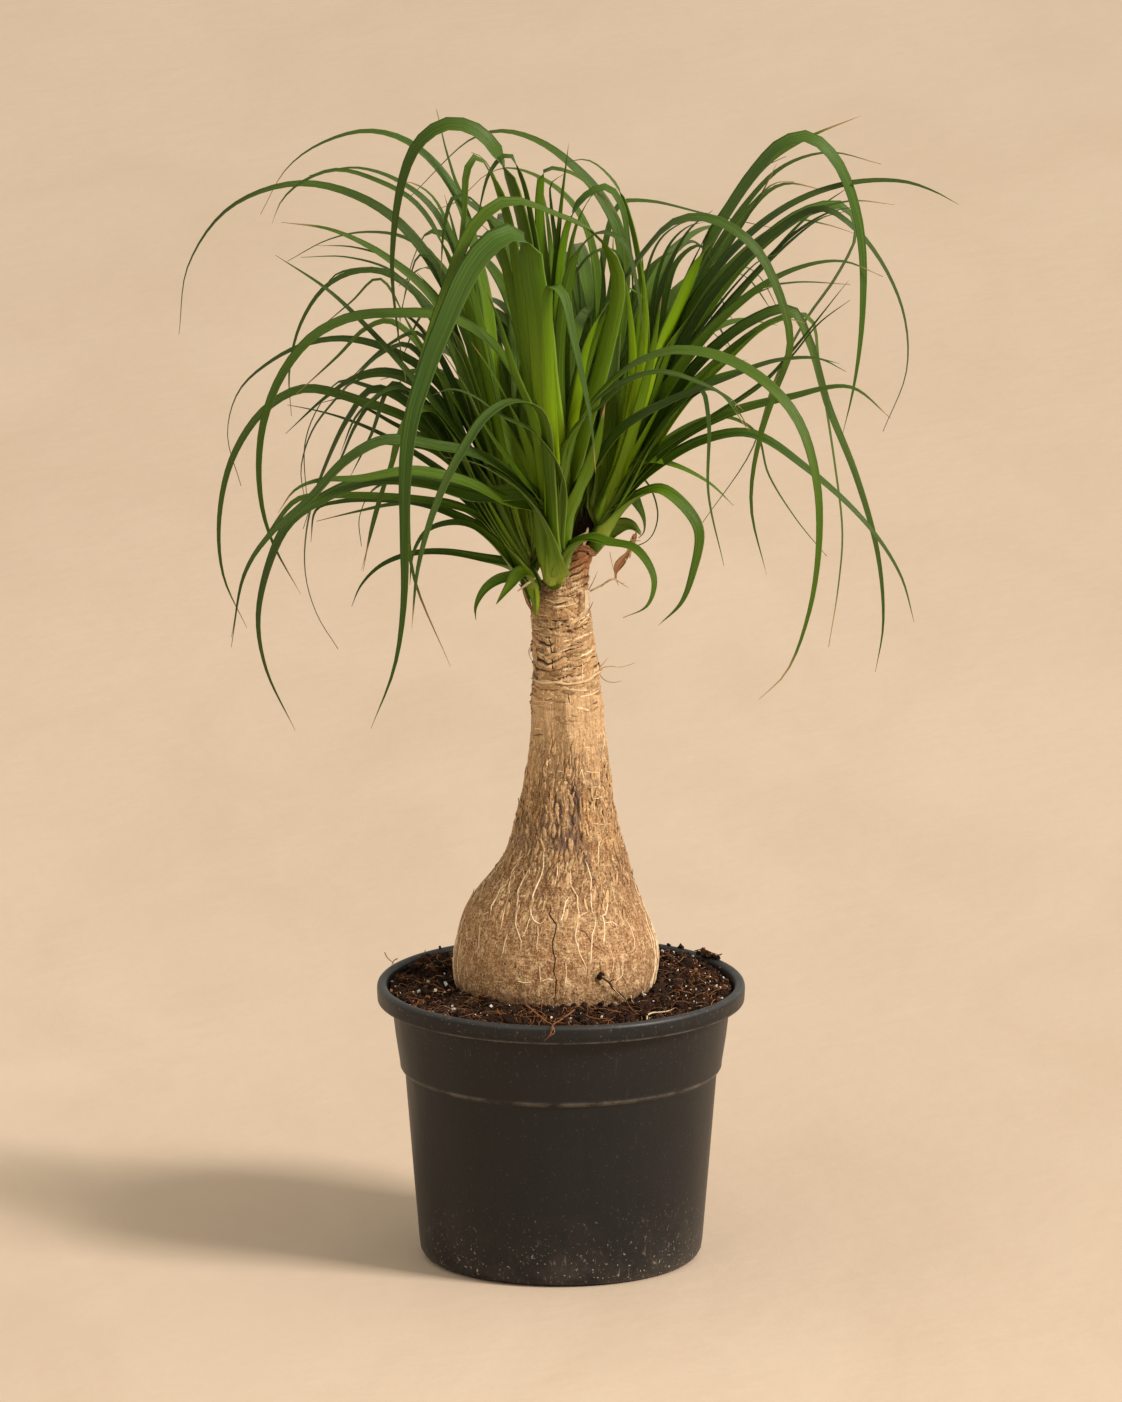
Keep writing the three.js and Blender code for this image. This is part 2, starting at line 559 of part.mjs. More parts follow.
const potPlastic = new THREE.MeshStandardMaterial({ color: 0x282626, roughness: 0.5, metalness: 0 });
const mixBrown = new THREE.MeshStandardMaterial({ color: 0x3a281a, roughness: 1, metalness: 0 });
const barkTan = new THREE.MeshStandardMaterial({ color: 0xa98258, roughness: 0.9, metalness: 0 });
const leafGreen = new THREE.MeshStandardMaterial({ color: 0x4a6b1c, roughness: 0.5, metalness: 0 });
const dryBrown = new THREE.MeshStandardMaterial({ color: 0x9a6a3c, roughness: 0.9, metalness: 0 });

const trunkWithGap = makeTrunk(GAP);
const trunkHole = trunkWithGap.add(trunkWithGap.translate([0, 0, -GAP]));
const draw = drawer(HIDDEN_SEED);
const palm = new THREE.Group();

palm.add(meshFrom(makePot(), 'pot', potPlastic));
palm.add(meshFrom(largestBody(makeMix().subtract(trunkHole)), 'potting_mix', mixBrown));
palm.add(meshFrom(largestBody(makeTrunk(0)), 'trunk', barkTan));

for (const [side, head] of Object.entries(HEADS)) {
  const stalk = makeStalk(head.foot, head.heart, head.radius);
  const blades = [...seenBlades(head, LEAVES[side]), ...hiddenBlades(head, HIDDEN_LEAVES[side], draw)];
  palm.add(meshFrom(makeHead(stalk, blades, trunkWithGap), `leaf_head_${side}`, leafGreen));
}

const shoot = { foot: SHOOT_FOOT, heart: SHOOT_HEART, radius: SHOOT_RADIUS };
const shootStalk = makeStalk(SHOOT_FOOT, SHOOT_HEART, SHOOT_RADIUS);
palm.add(meshFrom(makeHead(shootStalk, seenBlades(shoot, SHOOT_LEAVES), trunkWithGap), 'side_shoot', leafGreen));

const dryRoot = new THREE.Vector3(...DRY_LEAF_ROOT);
const dryBlades = DRY_LEAVES.map((leaf) => makeBlade(seenLeafPoints(dryRoot, leaf), leaf[1]));
palm.add(meshFrom(makeHead(dryBlades[0], dryBlades.slice(1), trunkWithGap), 'dry_leaf', dryBrown));

export default palm;
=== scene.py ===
"""A potted ponytail palm: a swollen woody trunk in a black nursery pot, with heads of strap leaves.

Metres, +Z up, the pot's underside on the floor at the origin, the front of the plant facing -Y.
"""

import math

import bpy
import numpy as np
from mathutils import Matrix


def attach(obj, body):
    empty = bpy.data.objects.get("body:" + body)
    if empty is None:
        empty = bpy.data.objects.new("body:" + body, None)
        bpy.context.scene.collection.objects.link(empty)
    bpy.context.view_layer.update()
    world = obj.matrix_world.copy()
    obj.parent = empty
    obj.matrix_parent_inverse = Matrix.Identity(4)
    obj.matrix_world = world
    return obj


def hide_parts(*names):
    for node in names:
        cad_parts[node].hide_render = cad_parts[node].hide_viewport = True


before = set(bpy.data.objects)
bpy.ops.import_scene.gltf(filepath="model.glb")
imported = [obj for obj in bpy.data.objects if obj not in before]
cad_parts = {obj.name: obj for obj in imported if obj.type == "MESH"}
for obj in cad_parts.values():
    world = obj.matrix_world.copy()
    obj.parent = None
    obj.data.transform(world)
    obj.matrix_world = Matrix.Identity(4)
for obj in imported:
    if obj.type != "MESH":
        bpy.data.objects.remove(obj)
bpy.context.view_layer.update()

# The studio: a wide pale floor of fine warm plaster, a large soft lamp high on the right, a weak
# one on the left, and an even warm sky. The camera looks down on the plant by 14 degrees from far
# away, so that it sees the pot and the crown at nearly one scale.
VIEW_ANGLE = math.radians(14)
VIEW_COS = math.cos(VIEW_ANGLE)
VIEW_SIN = math.sin(VIEW_ANGLE)
VIEW_DISTANCE = 20.0
VIEW_HEIGHT = 0.294
PHOTO_ROWS = 1402
ROWS_PER_METRE = 1941
FRAME_HEIGHT = PHOTO_ROWS / ROWS_PER_METRE
SENSOR = 36.0
CLIP_END = 60
PLANT_MIDDLE = (0, 0, 0.3)
SKY_COLOUR = (1.0, 0.92, 0.77, 1)
SKY_STRENGTH = 0.60
FLOOR_CORNERS = [(-9, -14, 0), (9, -14, 0), (9, 12, 0), (-9, 12, 0)]


class Finish:
    """A material made of soft clouds and colour ramps, whose colour is laid on coat over coat."""

    def __init__(self, name, **values):
        """The values are the shader's own, such as its Roughness."""
        self.material = bpy.data.materials.new(name)
        self.material.use_nodes = True
        self.tree = self.material.node_tree
        self.shader = self.tree.nodes["Principled BSDF"]
        for socket, value in values.items():
            self.shader.inputs[socket.replace("_", " ")].default_value = value
        self.base = None

    def add(self, kind, inputs=None, **settings):
        """One shader node with its inputs joined or set. It gives the node's first output."""
        node = self.tree.nodes.new("ShaderNode" + kind)
        for name, value in settings.items():
            setattr(node, name, value)
        for name, value in (inputs or {}).items():
            if isinstance(value, bpy.types.NodeSocket):
                self.tree.links.new(value, node.inputs[name])
            else:
                node.inputs[name].default_value = value
        return node.outputs[0]

    def spot(self):
        """The place on the piece in its own frame, in metres."""
        return self.add("TexCoord").node.outputs["Object"]

    def parts(self, place):
        """The x, y and z of a place."""
        return list(self.add("SeparateXYZ", {0: place}).node.outputs)

    def mark(self, name, output="Fac"):
        """The value that each point of the mesh carries under a name."""
        return self.add("Attribute", attribute_name=name).node.outputs[output]

    def calc(self, operation, first, second=0.0, clamp=False):
        """A sum, product or the like of two shader values."""
        return self.add("Math", {0: first, 1: second}, operation=operation, use_clamp=clamp)

    def plus(self, first, second, clamp=False):
        """The sum of two shader values."""
        return self.calc("ADD", first, second, clamp)

    def times(self, first, second, clamp=False):
        """The product of two shader values."""
        return self.calc("MULTIPLY", first, second, clamp)

    def scaled(self, place, x, y, z):
        """A place stretched by x, y and z."""
        return self.add("VectorMath", {0: place, 1: (x, y, z)}, operation="MULTIPLY")

    def cloud(self, place, scale, detail=3.0, roughness=0.55, distortion=0.0):
        """A soft noise between 0 and 1."""
        return self.add("TexNoise", {"Vector": place, "Scale": scale, "Detail": detail,
                                     "Roughness": roughness, "Distortion": distortion})

    def steps(self, value, *stops):
        """A colour ramp: each stop is a place between 0 and 1 and a colour or a grey."""
        ramp = self.add("ValToRGB", {"Fac": value}).node
        elements = ramp.color_ramp.elements
        while len(elements) < len(stops):
            elements.new(1.0)
        for element, (place, colour) in zip(elements, stops):
            element.position = place
            element.color = (*colour, 1) if isinstance(colour, tuple) else (colour, colour, colour, 1)
        return ramp.outputs[0]

    def mixed(self, share, first, second):
        """Two colours mixed by a share between 0 and 1."""
        node = self.add("Mix", data_type="RGBA", blend_type="MIX", clamp_factor=True).node
        for index, value in ((0, share), (6, first), (7, second)):
            if isinstance(value, bpy.types.NodeSocket):
                self.tree.links.new(value, node.inputs[index])
            else:
                node.inputs[index].default_value = (*value, 1) if isinstance(value, tuple) else value
        return node.outputs[2]

    def coat(self, colour, value, *stops, by=()):
        """Lays a colour over the base.

        Its share is the value, or the value's place on a ramp where stops are given, times each
        value in by.
        """
        share = self.steps(value, *stops) if stops else value
        for factor in by:
            share = self.times(share, factor)
        self.base = self.mixed(share, self.base, colour)

    def close(self, *layers, roughness=None):
        """Joins the coats to the shader, with bump from pairs of height and depth in metres."""
        self.tree.links.new(self.base, self.shader.inputs["Base Color"])
        if roughness is not None:
            self.tree.links.new(roughness, self.shader.inputs["Roughness"])
        values = {}
        for height, depth in layers:
            values.update({"Height": height, "Distance": depth, "Strength": 1.0})
            values["Normal"] = self.add("Bump", values)
        self.tree.links.new(values["Normal"], self.shader.inputs["Normal"])
        return self.material


def put_in_scene(name, data):
    """A new object with its data, put into the scene."""
    thing = bpy.data.objects.new(name, data)
    bpy.context.scene.collection.objects.link(thing)
    return thing


def lamp(name, place, aim, size, power, colour):
    """A square soft lamp at a place, turned to an aim."""
    light = bpy.data.lights.new(name, "AREA")
    light.size = size
    light.energy = power
    light.color = colour
    holder = put_in_scene(name, light)
    x, y, z = (a - p for a, p in zip(aim, place))
    holder.location = place
    holder.rotation_euler = (math.atan2(math.hypot(x, y), -z), 0, math.atan2(x, -y) + math.pi)


lamp("key_lamp", (6.6, -3.44, 5.4), PLANT_MIDDLE, 2.4, 930, (1.0, 0.92, 0.85))
lamp("fill_lamp", (-1.6, -2.4, 1.4), PLANT_MIDDLE, 1.8, 10, (1.0, 0.95, 0.9))
world = bpy.data.worlds.new("studio_sky")
world.use_nodes = True
world.node_tree.nodes["Background"].inputs["Color"].default_value = SKY_COLOUR
world.node_tree.nodes["Background"].inputs["Strength"].default_value = SKY_STRENGTH
bpy.context.scene.world = world
bpy.context.scene.view_settings.view_transform = "Standard"

floor_mesh = bpy.data.meshes.new("floor")
floor_mesh.from_pydata(FLOOR_CORNERS, [], [(0, 1, 2, 3)])
floor = put_in_scene("floor", floor_mesh)
plaster = Finish("pale_plaster", Roughness=0.85)
spot = plaster.spot()
drawn_out = plaster.scaled(spot, 1.0, 0.4, 1.0)
patches = plaster.cloud(drawn_out, 2.4, 5.0)
brushed = plaster.cloud(drawn_out, 9.0, 6.0, 0.62, 0.6)
away = plaster.times(plaster.parts(spot)[1], 0.25)
plaster.base = plaster.steps(patches, (0.3, (0.62, 0.484, 0.360)), (0.7, (0.70, 0.560, 0.428)))
plaster.coat((0.56, 0.423, 0.300), brushed, (0.42, 0.0), (0.66, 0.30))
# Painted light: the floor grows lighter towards the back, where the lamp's light falls off.
plaster.coat((0.88, 0.733, 0.57), away, (0.15, 0.0), (0.70, 0.2))
floor_mesh.materials.append(plaster.close((plaster.cloud(spot, 60.0, 6.0), 0.0006)))

lens = bpy.data.cameras.new("camera")
lens.sensor_width = SENSOR
lens.lens = SENSOR * VIEW_DISTANCE / FRAME_HEIGHT
lens.clip_end = CLIP_END
camera = put_in_scene("camera", lens)
camera.location = (0, -VIEW_DISTANCE * VIEW_COS, VIEW_HEIGHT + VIEW_DISTANCE * VIEW_SIN)
camera.rotation_euler = (math.pi / 2 - VIEW_ANGLE, 0, 0)
bpy.context.scene.camera = camera

# The pot: one thin wall of black plastic, moulded in a single shot, with a rolled rim to lift it
# by, a band below the rim that a second pot stacks on, a rounded foot, and drain holes.
# The wall's outline is in millimetres, radius and height: up outside, over the rim, down inside.
POT_OUTLINE = [
    (66, 0), (68.6, 0.35), (71, 1.9), (72.5, 4.6), (73.15, 9), (73.9, 18), (75.6, 38), (77.4, 60),
    (79.2, 82), (80.45, 97.3), (80.75, 98.7), (81.5, 99.5), (82.4, 100), (82.95, 101), (83.1, 103),
    (84.05, 109), (85.3, 117), (86.2, 124.5), (86.85, 130), (87.5, 134.4), (88.1, 135.3), (90, 135.5),
    (93.6, 135.4), (94.3, 135.5), (94.62, 135.8), (94.72, 136.25), (94.9, 139), (95, 141.6), (94.92, 142.9),
    (94.6, 143.9), (93.9, 144.7), (93, 145), (91.9, 145), (90.8, 144.5), (90, 143.6), (89.5, 142.2),
    (88.9, 139.5), (87.4, 136), (86, 134), (85.2, 129), (84.2, 121), (82.9, 112), (81.6, 103.5),
    (80.6, 100.6), (79.2, 98.4), (78.4, 92), (76.2, 65), (74.1, 38), (71.7, 10), (70.2, 4.4), (67, 1.8),
]
POT_SIDES = 200
FLOOR_THICK = 0.0018
CORNER_GAP = 0.00035
SHORTEST_CUT = 0.0012
DRAIN_HOLES = 8
DRAIN_RADIUS = 0.0045
DRAIN_CIRCLE = 0.052
DRILL_SIDES = 24
DRILL_REACH = 0.01
CURVE_STEPS = 24


def length_so_far(points):
    """The length of a line of points from its start to each of them."""
    return np.concatenate([[0], np.cumsum(np.linalg.norm(np.diff(points, axis=0), axis=1))])


def curve_through(places, count):
    """Evenly spaced points on the centripetal Catmull-Rom curve through the places.

    Between places b and c, with a before and d after, the knots are apart by the square root of
    the distance, and the point is blended three times in a row from a, b, c and d.
    """
    known = np.asarray(places, float)
    ends = np.vstack([2 * known[0] - known[1], known, 2 * known[-1] - known[-2]])
    gaps = np.sqrt(np.linalg.norm(np.diff(ends, axis=0), axis=1))
    knots = np.concatenate([[0], np.cumsum(gaps)])
    span = np.repeat(np.arange(1, len(ends) - 2), CURVE_STEPS)
    share = np.tile(np.arange(CURVE_STEPS) / CURVE_STEPS, len(ends) - 3)
    span = np.append(span, len(ends) - 3)
    share = np.append(share, 1.0)
    t = (knots[span] + share * (knots[span + 1] - knots[span]))[:, None]
    t0, t1, t2, t3 = (knots[span + step][:, None] for step in (-1, 0, 1, 2))
    a, b, c, d = (ends[span + step] for step in (-1, 0, 1, 2))
    ab = ((t1 - t) * a + (t - t0) * b) / (t1 - t0)
    bc = ((t2 - t) * b + (t - t1) * c) / (t2 - t1)
    cd = ((t3 - t) * c + (t - t2) * d) / (t3 - t2)
    abc = ((t2 - t) * ab + (t - t0) * bc) / (t2 - t0)
    bcd = ((t3 - t) * bc + (t - t1) * cd) / (t3 - t1)
    dense = ((t2 - t) * abc + (t - t1) * bcd) / (t2 - t1)
    run = length_so_far(dense)
    even = np.linspace(0, run[-1], count)
    return np.stack([np.interp(even, run, column) for column in dense.T], axis=1)


def tube_faces(rows, sides, low=True, high=True):
    """Quads between neighbouring rings of a tube, and a flat face over each end that is closed."""
    index = np.arange(rows * sides).reshape(rows, sides)
    after = np.roll(index, -1, axis=1)
    quads = np.stack([index[:-1], after[:-1], after[1:], index[1:]], axis=-1)
    faces = quads.reshape(-1, 4).tolist()
    if low:
        faces.append(index[0, ::-1].tolist())
    if high:
        faces.append(index[-1].tolist())
    return faces


def repeated(faces, each, count):
    """The faces of one shape for a number of copies, whose points follow each other."""
    return [[corner + each * copy for corner in face] for copy in range(count) for face in faces]


def round_place(radius, angle, height):
    """Places at a radius, an angle and a height: x and y are the radius times cosine and sine."""
    return np.stack(np.broadcast_arrays(radius * np.cos(angle), radius * np.sin(angle), height), axis=-1)


def round_grid(profile, sides):
    """A profile of radius and height turned about Z."""
    angle = np.linspace(0, 2 * np.pi, sides, endpoint=False)
    return round_place(profile[:, :1], angle, profile[:, 1:2])


def new_piece(name, points, faces, material, layout=None, marks=None, smooth=True):
    """A mesh object from points and faces, with a UV place and named values for each point."""
    mesh = bpy.data.meshes.new(name)
    mesh.from_pydata(np.asarray(points).reshape(-1, 3).tolist(), [], faces)
    corner_point = np.empty(len(mesh.loops), np.int32)
    mesh.loops.foreach_get("vertex_index", corner_point)
    if layout is not None:
        mesh.uv_layers.new(name="layout").data.foreach_set(
            "uv", np.asarray(layout, np.float32)[corner_point].ravel())
    for mark, values in (marks or {}).items():
        values = np.asarray(values, np.float32)
        kind, slot = ("FLOAT_VECTOR", "vector") if values.ndim == 2 else ("FLOAT", "value")
        mesh.attributes.new(mark, kind, "POINT").data.foreach_set(slot, values.ravel())
    mesh.polygons.foreach_set("use_smooth", np.full(len(mesh.polygons), smooth))
    mesh.materials.append(material)
    mesh.validate()
    return put_in_scene(name, mesh)


def settle(piece, slot, *nodes):
    """The piece rides on the plant's one body and stands for the nodes, which it hides; the slot is not
    used.
    """
    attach(piece, "root")
    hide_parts(*nodes)


def crisp_wall():
    """The wall's outline in metres, with a point close to each side of a corner to keep it crisp."""
    wall = np.array(POT_OUTLINE) / 1000
    step = np.diff(wall, axis=0)
    long = np.linalg.norm(step, axis=1)
    near = step * np.minimum(CORNER_GAP / long, 0.3)[:, None]
    every = np.stack([wall[:-1], wall[:-1] + near, wall[1:] - near], axis=1)
    keep = np.stack([long > 0, long > SHORTEST_CUT, long > SHORTEST_CUT], axis=1)
    return np.vstack([every[keep], wall[-1:]])


def drill_drains(pot):
    """Cuts the drain holes: a round drill stands through the floor at each place on their circle."""
    turn = 2 * np.pi * (np.arange(DRAIN_HOLES) + 0.5) / DRAIN_HOLES
    one = round_grid(np.array([(DRAIN_RADIUS, -DRILL_REACH), (DRAIN_RADIUS, DRILL_REACH)]), DRILL_SIDES)
    corners = round_place(DRAIN_CIRCLE, turn, 0.0)[:, None, None] + one
    drills = bpy.data.meshes.new("drain_drills")
    drills.from_pydata(corners.reshape(-1, 3).tolist(), [],
                       repeated(tube_faces(2, DRILL_SIDES), 2 * DRILL_SIDES, DRAIN_HOLES))
    drill = put_in_scene("drain_drills", drills)
    cut = pot.modifiers.new("drain_holes", "BOOLEAN")
    cut.object = drill
    cut.solver = "EXACT"
    seen = pot.evaluated_get(bpy.context.evaluated_depsgraph_get())
    drilled = bpy.data.meshes.new_from_object(seen)
    pot.modifiers.clear()
    pot.data = drilled
    bpy.data.objects.remove(drill)


def make_pot(material):
    """The wall is a turned profile, and flat rings close it to the floor inside and outside."""
    under = [(radius, 0.0) for radius in (0.001, 0.03, 0.06, 0.0645)]
    inside = [(radius, FLOOR_THICK) for radius in (0.065, 0.05, 0.02, 0.001)]
    profile = np.vstack([under, crisp_wall(), inside])
    pot = new_piece("nursery_pot", round_grid(profile, POT_SIDES), tube_faces(len(profile), POT_SIDES),
                    material)
    drill_drains(pot)
    return pot


plastic = Finish("black_pot_plastic", Roughness=0.46, Specular_IOR_Level=0.30)
spot = plastic.spot()
fine = plastic.cloud(spot, 900.0, 4.0)
streak = plastic.cloud(plastic.scaled(spot, 1, 1, 0.25), 60.0, 5.0)
dust = plastic.cloud(spot, 45.0, 6.0, 0.7)
specks = plastic.cloud(spot, 640.0, 2.0)
scuffs = plastic.cloud(plastic.scaled(spot, 1, 1, 0.35), 380.0, 5.0, 0.7, 0.8)
highlight_and_dust_break = plastic.steps(plastic.cloud(spot, 60.0, 5.0, 0.7), (0.40, 0.1), (0.60, 1.0))
height = plastic.times(plastic.parts(spot)[2], 5.0)
low = plastic.steps(height, (0.01, 1.0), (0.10, 0.34), (0.22, 0.05), (0.55, 0.04), (0.68, 0.12),
                    (0.725, 0.25))
# Over the black lie dust near the foot, pale lines of dust and painted highlight at the band's
# edges, a painted highlight with some rubbed wear on the lip, the shadow at the band's foot, and
# splashes and scuffs low on the wall.
plastic.base = plastic.mixed(streak, (0.0052, 0.0052, 0.0058), (0.0105, 0.0100, 0.0102))
plastic.coat((0.10, 0.082, 0.066), dust, (0.42, 0.0), (0.75, 1.0), by=(low, 0.45))
# Pale lines at the band's two edges: partly dust, partly a painted highlight where the rounded edges catch
# the light.
plastic.coat((0.18, 0.16, 0.14), height, (0.493, 0.0), (0.4965, 1.0), (0.5045, 1.0), (0.5085, 0.0),
             (0.6765, 0.0), (0.678, 0.9), (0.6805, 0.9), (0.682, 0.0), by=(highlight_and_dust_break, 0.55))
# A painted highlight on the lip: a pale bluish line for the light it catches, with some rubbed wear.
plastic.coat((0.060, 0.062, 0.066), height, (0.7165, 0.0), (0.7195, 0.55), (0.7235, 0.55), (0.7250, 0.15))
plastic.coat((0.0025, 0.0025, 0.0028), height, (0.6825, 0.0), (0.687, 0.6), (0.700, 0.0))
plastic.coat((0.42, 0.36, 0.29), specks, (0.66, 0.0), (0.70, 1.0), by=(low, 0.95))
plastic.coat((0.34, 0.28, 0.21), scuffs, (0.60, 0.0), (0.70, 1.0), by=(low, 0.60))
black_plastic = plastic.close((streak, 0.0003), (fine, 0.00005),
                              roughness=plastic.plus(plastic.times(streak, 0.20), 0.33))
settle(make_pot(black_plastic), "pot_plastic", "pot")

# The potting mix: dark peat and coir, loose and lumpy, pressed in by hand and mounded up round the
# trunk, with crumbs of bark, pale grains of perlite and stray coir fibres on its surface.
MIX_LEVEL = 0.141
MIX_EDGE = 0.0883
MIX_SIDES = 400
FIBRE_ROWS = 9
FIBRE_SWAY = 0.55
FIBRE_REACH = 0.0885
# The mix inside the pot, in millimetres: radius and height from under its edge to the middle.
MIX_UNDERSIDE = [
    (87.6, 136.8), (86.2, 135.2), (85.0, 133.5), (83.8, 122), (81.2, 103.5), (78.6, 98.5), (76.6, 75),
    (73.3, 35), (70.4, 8), (65.5, 2.3), (0.5, 2.3),
]


def scramble(x, y, z, seed):
    """A value from -1 to 1 for each cell of a whole-number lattice, mixed from its numbers' bits."""
    bits = (x * 73856093) ^ (y * 19349663) ^ (z * 83492791)
    bits = (bits ^ (seed * 2654435761)) & 0xFFFFFFFF
    bits = (bits * 2246822519 ^ (bits >> 13)) & 0xFFFFFFFF
    bits = (bits * 3266489917 ^ (bits >> 16)) & 0xFFFFFFFF
    return bits / 2147483647.5 - 1


def noise(points, size, seed, octaves=1):
    """Smooth noise from -1 to 1: random values on a cubic lattice, eased between its corners.

    Each further octave is half as large and half as strong. The seed picks the pattern.
    """
    total = np.zeros(np.shape(points)[:-1])
    share = 1.0
    whole = 0.0
    for octave in range(octaves):
        place = np.asarray(points) / size
        cell = np.floor(place).astype(np.int64)
        part = place - cell
        ease = part * part * part * (part * (part * 6 - 15) + 10)
        for corner in range(8):
            step = np.array([corner & 1, corner >> 1 & 1, corner >> 2 & 1])
            at = cell + step
            value = scramble(at[..., 0], at[..., 1], at[..., 2], seed + 100 * octave)
            weight = np.prod(np.where(step, ease, 1 - ease), axis=-1)
            total += share * weight * value
        whole += share
        share *= 0.5
        size = size / 2
    return total / whole


def smooth_between(value, low, high):
    """0 below low, 1 above high, and an even S between."""
    part = np.clip((value - low) / (high - low), 0, 1)
    return part * part * (3 - 2 * part)


def mix_rise(x, y):
    """The mix without its lumps: a low mound to the middle, a little higher at the back."""
    mound = 0.0035 * (1 - smooth_between(np.hypot(x, y), 0.048, 0.082))
    return MIX_LEVEL - 0.0005 + mound + 0.0020 * smooth_between(y, -0.01, 0.06)


def mix_height(x, y):
    """The rise of the mix with lumps of four sizes, which calm down close to the pot's wall."""
    flat = np.stack([x, y, np.zeros_like(x)], axis=-1)
    lumps = 0.0022 * noise(flat, 0.017, 11) + 0.0017 * noise(flat, 0.0065, 12)
    crumbs = 0.0010 * noise(flat, 0.0026, 13) + 0.0005 * noise(flat, 0.0012, 14)
    calm = 1 - 0.6 * smooth_between(np.hypot(x, y), 0.0845, MIX_EDGE)
    return mix_rise(x, y) + calm * (lumps + crumbs)


def make_mix(material):
    """A polar grid raised by mix_height, closed by a wall down to a flat underside."""
    rings = np.concatenate([np.linspace(0.0005, 0.044, 6), np.linspace(0.046, MIX_EDGE, 50)])
    angle = np.linspace(0, 2 * np.pi, MIX_SIDES, endpoint=False)
    x = rings[:, None] * np.cos(angle)
    y = rings[:, None] * np.sin(angle)
    top = np.stack([x, y, mix_height(x, y)], axis=-1)
    points = np.concatenate([top, round_grid(np.array(MIX_UNDERSIDE) / 1000, MIX_SIDES)])[::-1]
    return new_piece("potting_mix_top", points, tube_faces(len(points), MIX_SIDES), material)


def scatter_on_mix(count, seed, inner=0.050, outer=0.0865):
    """Seeded places on the mix between two radii, spread evenly over its area."""
    rng = np.random.default_rng(seed)
    radius = np.sqrt(rng.uniform(inner ** 2, outer ** 2, count))
    angle = rng.uniform(0, 2 * np.pi, count)
    x, y = radius * np.cos(angle), radius * np.sin(angle)
    return np.stack([x, y, mix_height(x, y)], axis=-1), rng


def own_tone(number, first=0.0):
    """A value from 0 to 1 for each item by its number, far from those of its neighbours."""
    return (number * 0.618 + first) % 1.0


def lumps_at(name, places, sizes, seed, material, flatness=1.0):
    """A small irregular lump at each place: a ball of 24 faces, squeezed and turned at random."""
    rng = np.random.default_rng(seed)
    turn = np.arange(6) * np.pi / 3
    belts = [round_place(math.cos(slope), turn + slope, math.sin(slope)) for slope in (-0.75, 0.05, 0.8)]
    ball = np.vstack([[(0, 0, -1)], *belts, [(0, 0, 1)]])
    faces = [[0, 1 + (i + 1) % 6, 1 + i] for i in range(6)]
    faces += [[1 + corner for corner in face] for face in tube_faces(3, 6, False, False)]
    faces += [[19, 13 + i, 13 + (i + 1) % 6] for i in range(6)]
    count = len(places)
    shape = ball[None] * rng.uniform(0.6, 1.25, (count, len(ball), 1))
    shape = shape * rng.uniform(0.55, 1.2, (count, 1, 3)) * np.array([1, 1, flatness])
    axes = np.linalg.qr(rng.normal(size=(count, 3, 3)))[0]
    axes = axes * np.sign(np.linalg.det(axes))[:, None, None]
    shape = np.einsum("nij,nkj->nki", axes, shape) * np.asarray(sizes)[:, None, None]
    points = shape + np.asarray(places)[:, None]
    tone = np.repeat(rng.uniform(0, 1, count), len(ball))
    return new_piece(name, points, repeated(faces, len(ball), count), material, marks={"tone": tone},
                     smooth=False)


def tube_rings(path, radius, sides):
    """Rings round a path, each square to it; the radius may change along the path."""
    along = np.gradient(path, axis=0)
    along /= np.linalg.norm(along, axis=1, keepdims=True) + 1e-12
    helper = np.where(np.abs(along[:, 2:3]) > 0.9, [[1.0, 0.0, 0.0]], [[0.0, 0.0, 1.0]])
    across = np.cross(along, helper)
    across /= np.linalg.norm(across, axis=1, keepdims=True)
    over = np.cross(across, along)
    angle = np.linspace(2 * np.pi, 0, sides, endpoint=False)
    round_about = (across[:, None] * np.cos(angle)[None, :, None]
                   + over[:, None] * np.sin(angle)[None, :, None])
    return path[:, None] + round_about * np.asarray(radius)[:, None, None]


def strands(name, paths, radii, material, sides=4):
    """Thin round strands along paths of as many points, each pointed at its far end, in one mesh."""
    count, rows = len(paths), len(paths[0])
    taper = 1 - 0.75 * np.linspace(0, 1, rows) ** 2
    points = [tube_rings(path, radius * taper, sides) for path, radius in zip(paths, radii)]
    tone = np.repeat(own_tone(np.arange(count), 0.618), rows * sides)
    return new_piece(name, points, repeated(tube_faces(rows, sides), rows * sides, count), material,
                     marks={"tone": tone})


def curly_fibre(start, heading, length, lift, rng):
    """A fibre from its start along a heading: it rises as a half sine and wanders sideways."""
    t = np.linspace(0, 1, FIBRE_ROWS)
    side = np.array([-heading[1], heading[0], 0])
    sway = np.cumsum(rng.normal(0, FIBRE_SWAY, FIBRE_ROWS)) / FIBRE_ROWS
    path = start + t[:, None] * length * heading
    path = path + (sway * length)[:, None] * side
    path[:, 2] += lift * np.sin(np.pi * t)
    path[:, 2] += np.cumsum(rng.normal(0, FIBRE_SWAY, FIBRE_ROWS)) * length * 0.05
    return path


def place_seen(across, up, depth):
    """A place seen 14 degrees from above, at a depth, in the plant's own frame, in metres.

    What lies nearer to the camera looks larger, so its place is drawn in by the share it is nearer.
    """
    level = VIEW_HEIGHT * 1000 * VIEW_COS
    height = (up - depth * VIEW_SIN) / VIEW_COS
    away = depth * VIEW_COS - (height - VIEW_HEIGHT * 1000) * VIEW_SIN
    share = 1 + away / (VIEW_DISTANCE * 1000)
    height = (level + (up - level) * share - depth * VIEW_SIN) / VIEW_COS
    return np.stack([across * share, depth + 0 * height, height], axis=-1) / 1000


